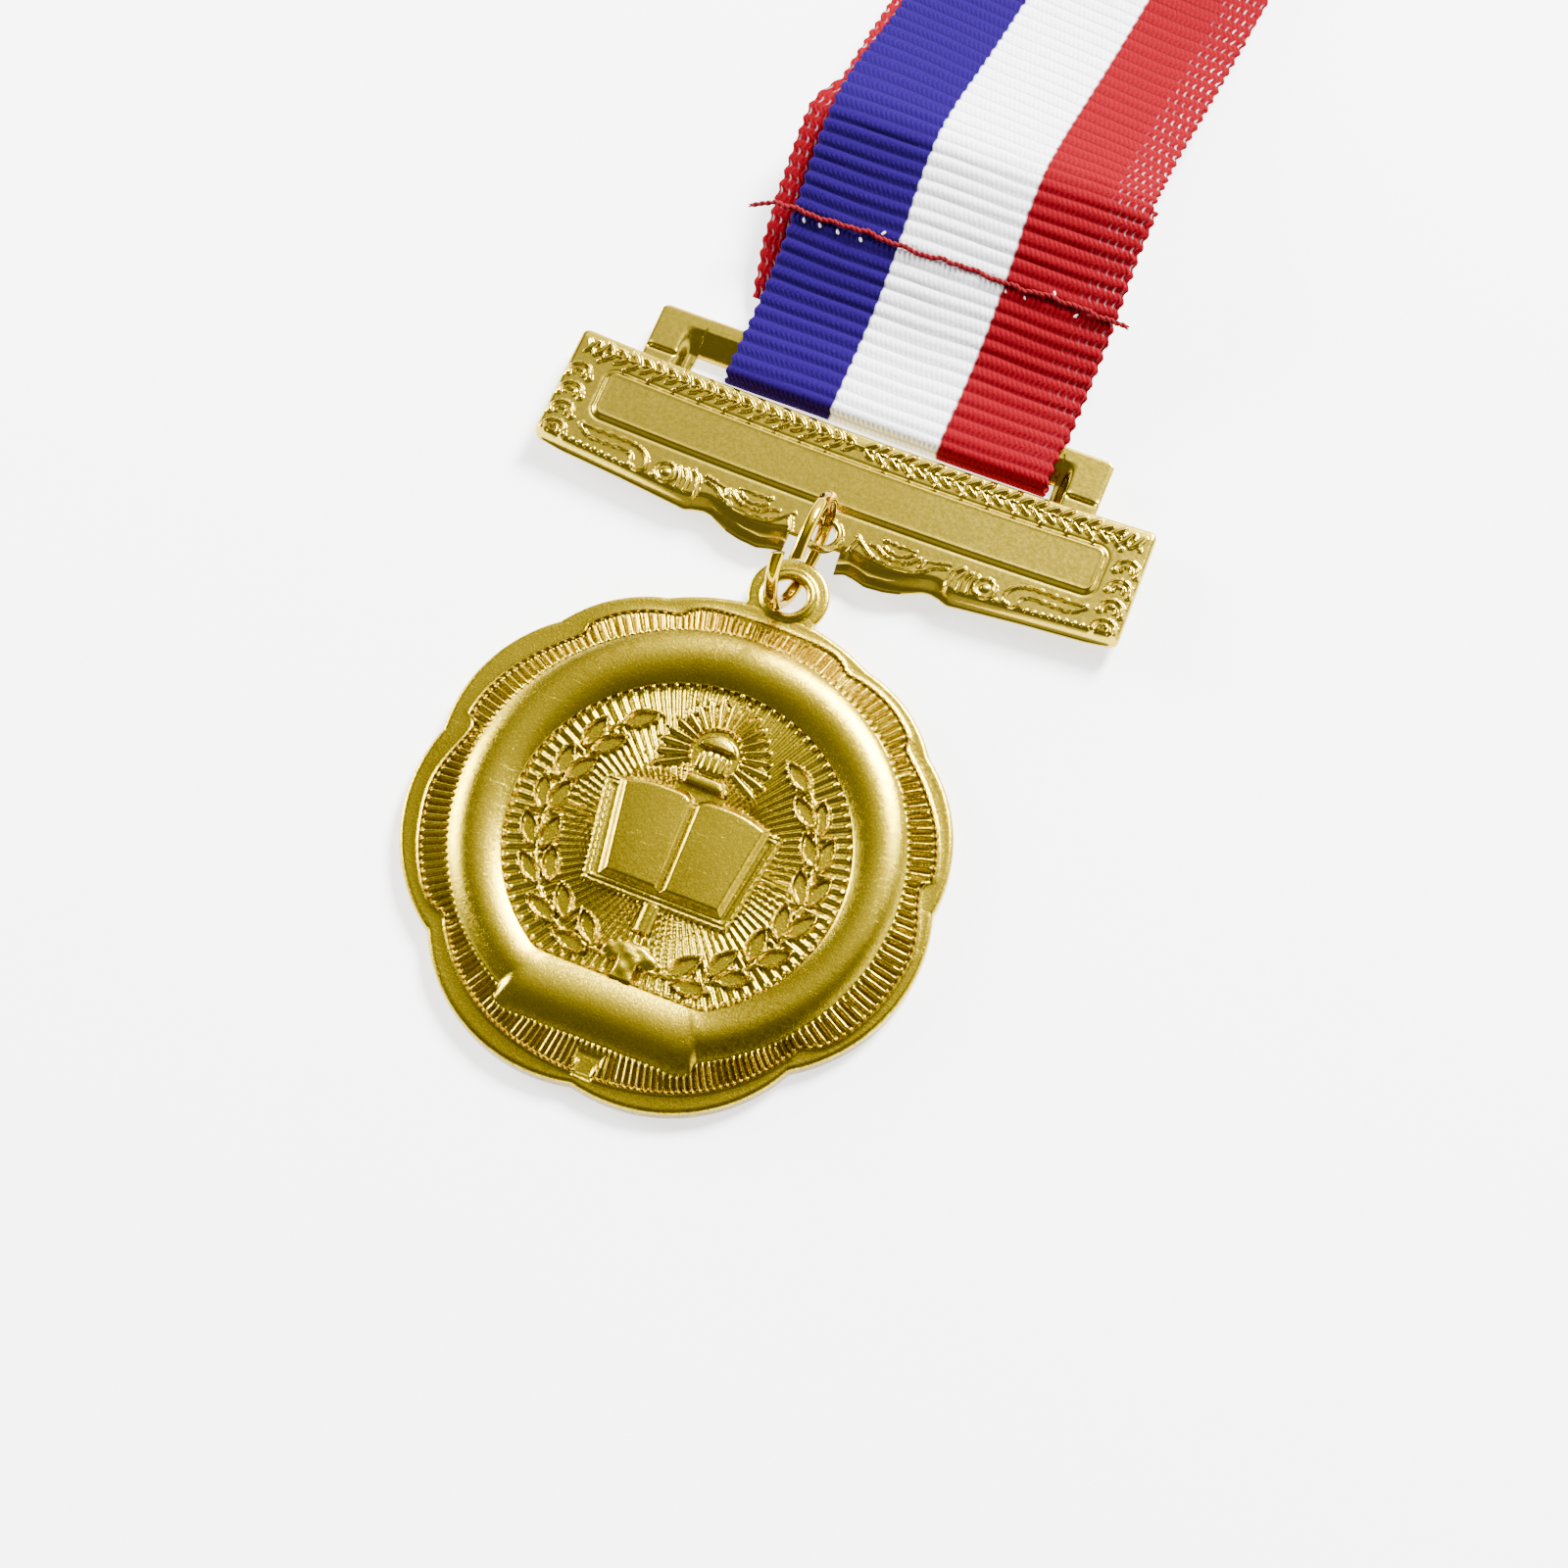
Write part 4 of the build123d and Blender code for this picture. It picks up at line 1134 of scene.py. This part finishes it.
def plain(name, base, dark, rough, scale=900, bumpd=0.00004, sheen=0.0):
    m, t, p = nodes_of(name)
    v = t.nodes.new("ShaderNodeTexCoord").outputs["Object"]
    n1 = noise(t, scale, 4, 0.6, v)
    t.links.new(mix(t, value_ramp(t, n1, 0.35, 0.65, 0, 1), dark, base), p.inputs["Base Color"])
    t.links.new(value_ramp(t, n1, 0.3, 0.7, rough - 0.08, rough + 0.08), p.inputs["Roughness"])
    p.inputs["Sheen Weight"].default_value = sheen
    p.inputs["Specular IOR Level"].default_value = 0.15
    b = t.nodes.new("ShaderNodeBump")
    b.inputs["Strength"].default_value = 0.6
    b.inputs["Distance"].default_value = bumpd
    t.links.new(n1, b.inputs["Height"])
    t.links.new(b.outputs["Normal"], p.inputs["Normal"])
    return m


FABRIC = fabric("ribbon_fabric")
THREAD = plain("red_thread", (0.20, 0.0, 0.005), (0.10, 0.0, 0.0025), 0.8, 2600, 0.00005)
STITCH = plain("white_thread", (0.88, 0.88, 0.88), (0.62, 0.62, 0.64), 0.6, 2600, 0.00004)
RUBBER = plain("band_rubber", (0.78, 0.72, 0.60), (0.66, 0.59, 0.47), 0.45, 700, 0.00003)

LEAN = math.radians(5.0)


def plan(y):
    """Centre line of the front strand seen from above, with its heading, from the distance along it."""
    yy = np.linspace(-5, 200, 8201)
    th = LEAN * sstep(33.5, 44.0, yy)
    x = np.cumsum(np.sin(th)) * (yy[1] - yy[0])
    yp = np.cumsum(np.cos(th)) * (yy[1] - yy[0])
    k = np.searchsorted(yy, 36.0)
    x += 1.15 - x[k]
    yp += 36.0 - yp[k]
    near = np.interp(yy, [7, 20, 26, 31, 36], [1.45, 1.58, 1.40, 1.12, 1.02])
    x = np.where(yy < 36.0, near + (1.15 - 1.02) * sstep(30, 36, yy), x)
    ker = np.ones(81) / 81
    x = np.convolve(np.pad(x, 40, mode="edge"), ker, "valid")
    x[-60:] = x[-61]
    return np.interp(y, yy, x), np.interp(y, yy, yp), np.interp(y, yy, th)


def arc(cy, cz, r, a0, a1, n):
    a = np.radians(np.linspace(a0, a1, n))
    return np.stack([cy + r * np.cos(a), cz + r * np.sin(a)], -1)


def hank_line(off):
    """One strand of the doubled strap, rolled up; off is its distance to the left of the pair's middle."""
    c = [(46, 4.75), (52, 3.31), (60, 1.87), (68, 1.22), (76, 1.03), (84, 1.03), (120, 1.03), (148, 1.03)]
    c = np.array(c, float)
    tg = np.gradient(c, axis=0)
    tg /= np.linalg.norm(tg, axis=1)[:, None]
    lead = c + off * np.stack([-tg[:, 1], tg[:, 0]], -1)
    parts = [lead, arc(151.4, 2.86, 1.83 - off, -90, 90, 17), [(140, 4.69 - off), (110, 4.69 - off), (86, 4.69 - off)],
             arc(78.1, 3.47, 1.22 - off, 90, 270, 15), [(90, 2.25 + off), (115, 2.25 + off), (140, 2.25 + off)],
             arc(149.3, 2.86, 0.61 - off, -90, 90, 11), [(140, 3.47 - off), (115, 3.47 - off), (90, 3.47 - off), (84.5, 3.47 - off)]]
    return np.concatenate([np.asarray(p, float) for p in parts])


wrap = [(36.0, 7.18), (35.0, 7.28), (33.5, 7.05), (30, 6.14), (26, 5.03), (22, 3.60), (18, 2.35), (16, 1.62), (14.5, 1.02),
        (13.2, 0.52), (12, 0.29), (10.5, 0.25), (8.6, 0.25)]
front = [(8.6, 2.55), (10.4, 2.55), (12, 2.55), (13.4, 2.53), (15, 2.68), (17, 3.05), (20, 3.90), (23, 4.80), (26, 5.68),
         (30, 6.80), (33.2, 7.68), (34.4, 7.95), (35.2, 7.99), (36.0, 7.86), (37.4, 7.50), (39, 7.02), (42, 6.18)]
back = [(42, 5.50), (40, 6.0), (38, 6.40), (36.6, 6.58), (35.0, 6.66), (33.5, 6.43), (30, 5.50), (26, 4.40), (22, 2.98),
        (18, 1.78), (15.8, 1.02)]
F = np.concatenate([wrap, arc(7.4, 1.40, 1.15, 270, 90, 13), front, hank_line(0.305)])
B = np.concatenate([hank_line(-0.305)[::-1], back])
fold = arc(84.5, 3.47, 0.305, 270, 90, 9)[1:-1]
ctl = np.concatenate([F, fold, B])
keep = np.concatenate([[True], np.hypot(*np.diff(ctl, axis=0).T) > 1e-3])
fold_at = int(keep[:len(F) + 4].sum()) - 1
ctl = ctl[keep]


def centripetal(p, n=14):
    """A smooth line through control points spaced unevenly."""
    p = np.vstack([2 * p[0] - p[1], p, 2 * p[-1] - p[-2]])
    out, tag = [], []
    for k in range(1, len(p) - 2):
        P = p[k - 1:k + 3]
        t = np.concatenate([[0], np.cumsum(np.sqrt(np.linalg.norm(np.diff(P, axis=0), axis=1)))])
        for s in np.linspace(t[1], t[2], n, endpoint=False):
            A = [(t[i + 1] - s) / (t[i + 1] - t[i]) * P[i] + (s - t[i]) / (t[i + 1] - t[i]) * P[i + 1] for i in range(3)]
            Bq = [(t[i + 2] - s) / (t[i + 2] - t[i]) * A[i] + (s - t[i]) / (t[i + 2] - t[i]) * A[i + 1] for i in range(2)]
            out.append((t[2] - s) / (t[2] - t[1]) * Bq[0] + (s - t[1]) / (t[2] - t[1]) * Bq[1])
            tag.append(k - 1)
    out.append(p[-2])
    tag.append(len(p) - 3)
    return np.array(out), np.array(tag)


line, tag = centripetal(ctl)
arcl = np.concatenate([[0], np.cumsum(np.hypot(*np.diff(line, axis=0).T))])
RIB_LEN = arcl[-1]
s_fold = arcl[np.searchsorted(tag, fold_at)]
k_far = np.nonzero((line[:, 0] > 62) & (arcl < RIB_LEN / 2))[0][0]
k_back = np.nonzero((line[:, 0] > 62) & (arcl > RIB_LEN / 2))[0][-1]
s_a, s_b = arcl[k_far], arcl[k_back]
print("ribbon", RIB_LEN, s_a, s_b, s_fold)


def ribbon():
    fine, coarse = PITCH / 8, PITCH / 4
    fine_b = PITCH / 6
    s = np.concatenate([np.arange(0, s_a, fine), np.arange(s_a, s_b, coarse), np.arange(s_b, RIB_LEN, fine_b)])
    s = np.unique(np.round(np.append(s[s < RIB_LEN - 0.02], RIB_LEN), 5))
    y = np.interp(s, arcl, line[:, 0])
    z = np.interp(s, arcl, line[:, 1])
    e = 0.12
    ty = np.interp(s + e, arcl, line[:, 0]) - np.interp(s - e, arcl, line[:, 0])
    tz = np.interp(s + e, arcl, line[:, 1]) - np.interp(s - e, arcl, line[:, 1])
    ln = np.hypot(ty, tz)
    ty, tz = ty / ln, tz / ln
    ny, nz = -tz, ty                        # left of travel in the (y, z) plane
    px, py, th = plan(y)
    isb = s > s_fold
    boff = np.interp(y, [15, 17, 21, 26, 31, 35, 36.5, 38.5, 41, 45, 50, 60, 76, 100],
                     [-0.75, -1.4, -2.2, -2.4, -2.3, -2.35, -1.9, -0.7, -0.8, -1.15, -1.35, -1.2, -0.5, -0.2])
    iswrap = s < arcl[np.nonzero(line[:, 0] < 7.0)[0][0]]
    woff = np.interp(y, [7, 14, 36], [0.0, 0.1, 0.5])
    shift = np.where(isb, boff, np.where(iswrap, woff, 0.0))
    shift = shift + np.where(y > 70, 0.25 * np.sin(s * 0.045 + 0.8), 0.0)
    r = np.random.default_rng(11)
    # section: upper side from left to right, then the lower side back
    u = np.array([-1.0, -0.992, -0.975, -0.93, -0.80, -0.62, -0.43, -0.22, 0.0, 0.22, 0.43, 0.62, 0.80, 0.93, 0.975, 0.992, 1.0])
    m = len(u)
    edge = np.sqrt(np.clip(1 - ((np.abs(u) - 0.985) / 0.015).clip(0, 1) ** 2, 0, 1))
    edge[[0, -1]] = 0.0
    ph = s[:, None] / PITCH
    wob = 0.06 * np.sin(u[None, :] * 5.2 + s[:, None] * 0.21) + 0.05 * np.sin(u[None, :] * 9.1 - s[:, None] * 0.13 + 1.0)
    rib = 2 * np.abs(np.cos(math.pi * (ph + wob))) ** 0.75 - 1
    vary = 1 + 0.18 * np.sin(s * 1.9 + 0.4)[:, None] + 0.12 * r.standard_normal((len(s), 1)).cumsum(0).clip(-1, 1) * 0.3
    # the rib height drops where the strap lies flat and stretched
    flatter = np.interp(y, [30, 36, 39, 60], [1.0, 1.0, 0.62, 0.62])[:, None]
    half = 0.190
    up = half + (0.125 * rib) * vary * flatter
    dn = half + (0.055 * rib)
    ser = 0.16 * np.cos(2 * math.pi * ph[:, 0]) + 0.03 * r.standard_normal(len(s))
    ser = np.convolve(np.pad(ser, 1, mode="edge"), [0.2, 0.6, 0.2], "valid")
    wide = HALF_W * np.interp(y, [7, 20, 34, 38, 46, 60], [1.0, 1.0, 1.005, 1.005, 0.985, 0.98])
    # slight softness: the strap isn't perfectly flat across
    bow = 0.10 * np.sin(u[None, :] * 2.6 + s[:, None] * 0.05) * np.where((y > 40) & (y < 70) & ~isb, 1, 0)[:, None] * sstep(40, 48, y)[:, None] * sstep(70, 60, y)[:, None]
    wv = (0.06 * np.sin(u * 3.4 + 0.7))[None, :] * (np.where((y > 16) & (y < 34) & ~isb & ~iswrap, 1, 0) * sstep(15, 20, y) * sstep(35, 31, y))[:, None]
    lift = bow + wv
    grow = (wide + ser)[:, None] * u[None, :]
    # wrap and return travel upside down: mirror nothing across, only the normal turns
    V = []
    for side in (1, -1):
        t = (up if side == 1 else dn) * edge[None, :] + (0.02 if side == 1 else 0.02) * (1 - edge[None, :])
        d = side * t + lift
        Y = y[:, None] + ny[:, None] * d
        Z = z[:, None] + nz[:, None] * d
        qx, qy, qth = plan(Y)
        off = grow + shift[:, None]
        X = qx + off * np.cos(th)[:, None]
        YY = qy - off * np.sin(th)[:, None]
        V.append(np.stack([X, YY, Z], -1))
    sec = np.concatenate([V[0], V[1][:, ::-1]], 1)
    n, w = sec.shape[:2]
    v = sec.reshape(-1, 3)
    f = [rows(0, n, w, flip=True), np.arange(w)[None, :], ((n - 1) * w + np.arange(w))[None, ::-1]]
    across = np.where(isb, -1.0, 1.0)[:, None] * np.concatenate([u, u[::-1]])[None, :]
    along = np.repeat(s[:, None], w, 1) + PITCH * np.concatenate([wob, wob[:, ::-1]], 1)
    loose = np.interp(y, [7, 20, 34, 37, 40], [0.0, 0.10, 0.3, 0.85, 0.9])
    loose = np.repeat(np.where(isb, 0.35, loose)[:, None], w, 1)
    return v, f, across.ravel(), along.ravel(), loose.ravel()


v, f, ac, al, op = ribbon()
strap = make("ribbon_strap", v, f, None, [FABRIC], angle=75)
attribute(strap, "across", ac)
attribute(strap, "along", al)
attribute(strap, "open", op)
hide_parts("ribbon_loop", "neck_ribbon")
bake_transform(strap)


def strap_top(x, y):
    """Height of the front strand's upper surface near the seam."""
    k = (arcl < RIB_LEN / 2) & (arcl > arcl[np.nonzero(line[:, 0] < 7.0)[0][0]] + 3) & (line[:, 0] < 44)
    o = np.argsort(line[k, 0])
    return np.interp(y, line[k, 0][o], line[k, 1][o]) + 0.27


# ------------------------------------------------------------------ seam thread
def strand(pts, radius, k=8, caps=True):
    p = np.asarray(pts, float)
    tg = np.gradient(p, axis=0)
    tg /= np.linalg.norm(tg, axis=1)[:, None]
    up = np.array([0, 0, 1.0])
    sd = np.cross(tg, up)
    sd /= np.linalg.norm(sd, axis=1)[:, None] + 1e-9
    nn = np.cross(sd, tg)
    a = np.arange(k) * 2 * math.pi / k
    rr = np.broadcast_to(radius, (len(p),))
    v = p[:, None] + rr[:, None, None] * (np.cos(a)[None, :, None] * sd[:, None] + np.sin(a)[None, :, None] * nn[:, None])
    f = [rows(0, len(p), k, flip=False), np.arange(k)[None, ::-1], ((len(p) - 1) * k + np.arange(k))[None, :]]
    return v.reshape(-1, 3), f


def join(parts):
    V, Fq, base = [], [], 0
    for v, f in parts:
        V.append(v)
        Fq += [q + base for q in f]
        base += len(v)
    return np.concatenate(V), Fq


def thread():
    x = np.linspace(-19.45, 19.75, 700)
    y = 24.05 + 0.10 * np.sin(x * 0.62) + 0.07 * np.sin(x * 1.71 + 1.3) + 0.05 * np.sin(x * 3.3 + 0.4)
    y += np.interp(x, [-20, -18.6, -17.2, 17, 20], [-1.05, -0.75, 0.0, 0.0, -0.05])
    z = strap_top(x, y) + 0.22 + 0.05 * np.sin(x * 1.3) + 0.03 * np.sin(x * 4.1)
    z += np.interp(x, [-20, -17.6, -15.6, -15, 17.6, 18.0, 20], [-0.55, -0.45, 0.0, 0, 0, 0, -0.35])
    c = np.stack([x, y, z], -1)
    tw = x * 2 * math.pi / 1.15
    out = []
    for ph in (0, math.pi):
        q = c.copy()
        q[:, 1] += 0.125 * np.cos(tw + ph)
        q[:, 2] += 0.125 * np.sin(tw + ph)
        end = np.minimum(np.arange(700), np.arange(700)[::-1])
        rad = 0.15 * np.clip(0.35 + end / 8, 0, 1)
        out.append(strand(q, rad, 9))
    return join(out)


v, f = thread()
thread_ob = make("seam_twist", v, f, "ribbon", [THREAD], angle=60)
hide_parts("seam_thread")


def stitches():
    r = np.random.default_rng(3)
    out = []
    for x in (-13.6, -12.1, -10.2, -7.7, -5.9, -3.0, 0.6, 3.1, 5.6, 7.2, 9.3, 11.7, 14.6):
        x = x + r.uniform(-0.15, 0.15)
        dy = r.choice([-1, 1]) * r.uniform(0.55, 0.7)
        t = np.linspace(-1, 1, 12)
        px = x + 0.14 * t * r.choice([-1, 1])
        py = 24.05 + dy + 0.20 * t
        pz = strap_top(px, py) + 0.05 * np.sqrt(np.clip(1 - t**2, 0, 1)) - 0.06
        rad = 0.15 * np.sqrt(np.clip(1 - (t * 0.98) ** 4, 0.02, 1))
        out.append(strand(np.stack([px, py, pz], -1), rad, 8))
    return join(out)


v, f = stitches()
stitch_ob = make("basting_stitches", v, f, "ribbon", [STITCH], angle=60)


# ------------------------------------------------------------------ elastic band round the rolled strap
def elastic():
    y0, y1, n = 112.4, 117.6, 26
    hx, z0, z1, rad = HALF_W * 0.98 + 0.55, 0.36, 5.36, 0.9
    a = []
    for cx, cz, a0 in ((hx - rad, z0 + rad, -90), (hx - rad, z1 - rad, 0), (-hx + rad, z1 - rad, 90), (-hx + rad, z0 + rad, 180)):
        for d in np.linspace(a0, a0 + 90, 7):
            a.append((cx + rad * math.cos(math.radians(d)), cz + rad * math.sin(math.radians(d)), math.cos(math.radians(d)), math.sin(math.radians(d))))
    a = np.array(a)
    dense = []
    for k in range(len(a)):
        b = a[(k + 1) % len(a)]
        steps = max(1, int(np.hypot(*(b[:2] - a[k][:2])) / 0.9))
        for q in range(steps):
            dense.append(a[k] + (b - a[k]) * q / steps)
    a = np.array(dense)
    a[:, 2:] /= np.linalg.norm(a[:, 2:], axis=1)[:, None]
    yy = np.linspace(y0, y1, n)
    th_in, th_out = 0.0, 0.36
    prof = [(y, th_out + 0.035 * math.cos((y - y0) * 2 * math.pi / 0.52) - 0.28 * (1 - math.sqrt(max(0, 1 - max(0, 1 - min(y - y0, y1 - y) / 0.28) ** 2)))) for y in np.linspace(y0, y1, 61)]
    prof += [(y1 - 0.02, 0.03), (y1 - 0.1, 0.0), (y0 + 0.1, 0.0), (y0 + 0.02, 0.03)]
    prof = np.array(prof)
    k = len(prof)
    V = []
    for px, pz, nx, nz in a:
        off = px + nx * prof[:, 1]
        cx, cy, th = plan(prof[:, 0])
        V.append(np.stack([cx + off * np.cos(th), cy - off * np.sin(th), pz + nz * prof[:, 1]], -1))
    V.append(V[0])
    v = np.concatenate(V[:-1])
    n_l = len(a)
    r = np.arange(n_l)[:, None] * k
    r2 = ((np.arange(n_l) + 1) % n_l)[:, None] * k
    c = np.arange(k)[None, :]
    d = (c + 1) % k
    q = np.stack([r + c, r2 + c, r2 + d, r + d], -1).reshape(-1, 4)
    return v, [q]


v, f = elastic()
band_ob = make("elastic_band", v, f, "ribbon", [RUBBER], angle=55)
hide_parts("ribbon_band")

WORLD_BASE = 0.20
WORLD_LOBES = [
    ((0.05, 0.88, 0.46), 10, 42, 3.4),     # large soft box behind the top of the medal
    ((-0.97, 0.12, 0.14), 10, 32, 4.0),    # white card on the left
    ((0.95, 0.20, 0.10), 8, 36, 3.2),      # white card on the right
    ((-0.10, 0.42, 0.90), 6, 28, 0.55),
    ((0.1, -0.97, 0.22), 8, 36, 0.5),      # pale surface in front
]
AREAS = [
    ("key", (0.28, 0.88, 0.74), 0.45, 105.0, (0.0, -0.03, 0.0)),
    ("fill", (-1.2, 0.10, 0.34), 0.6, 48.0, (0.0, -0.03, 0.0)),
]


# ------------------------------------------------------------------ floor and light
def floor():
    me = bpy.data.meshes.new("floor")
    s = 3.0
    me.from_pydata([(-s, -s, -0.00004), (s, -s, -0.00004), (s, s, -0.00004), (-s, s, -0.00004)], [], [(0, 1, 2, 3)])
    ob = bpy.data.objects.new("floor", me)
    scene.collection.objects.link(ob)
    m, t, p = nodes_of("paper")
    v = t.nodes.new("ShaderNodeTexCoord").outputs["Object"]
    t.links.new(mix(t, noise(t, 30, 4, 0.5, v), (0.93, 0.93, 0.94), (0.95, 0.95, 0.95)), p.inputs["Base Color"])
    p.inputs["Roughness"].default_value = 0.9
    p.inputs["Specular IOR Level"].default_value = 0.1
    p.inputs["Emission Color"].default_value = (1.0, 1.0, 1.0, 1.0)
    p.inputs["Emission Strength"].default_value = 1.8
    me.materials.append(m)


floor()

world = bpy.data.worlds.new("studio")
scene.world = world
world.use_nodes = True
wt = world.node_tree
bg = wt.nodes["Background"]
direction = wt.nodes.new("ShaderNodeTexCoord").outputs["Generated"]


def lobe(vec, inner, outer, amount):
    d = wt.nodes.new("ShaderNodeVectorMath")
    d.operation = "DOT_PRODUCT"
    n = Vector(vec).normalized()
    d.inputs[1].default_value = n
    wt.links.new(direction, d.inputs[0])
    r = wt.nodes.new("ShaderNodeMapRange")
    r.interpolation_type = "SMOOTHSTEP"
    r.inputs["From Min"].default_value = math.cos(math.radians(outer))
    r.inputs["From Max"].default_value = math.cos(math.radians(inner))
    r.inputs["To Min"].default_value = 0.0
    r.inputs["To Max"].default_value = amount
    wt.links.new(d.outputs["Value"], r.inputs["Value"])
    return r.outputs["Result"]


total = None
for vec, inner, outer, amount in WORLD_LOBES:
    s = lobe(vec, inner, outer, amount)
    total = s if total is None else math_node(wt, "ADD", total, s)
total = math_node(wt, "MAXIMUM", math_node(wt, "ADD", total, WORLD_BASE), 0.02)
wt.links.new(total, bg.inputs["Strength"])
bg.inputs["Color"].default_value = (1, 0.99, 0.975, 1)


def area(name, where, size, power, aim=(0, 0, 0), colour=(1, 1, 1)):
    li = bpy.data.lights.new(name, "AREA")
    li.shape = "DISK"
    li.size = size
    li.energy = power
    li.color = colour
    ob = bpy.data.objects.new(name, li)
    scene.collection.objects.link(ob)
    ob.location = where
    ob.rotation_mode = "QUATERNION"
    ob.rotation_quaternion = (Vector(aim) - Vector(where)).to_track_quat("-Z", "Y")


for args in AREAS:
    area(*args)
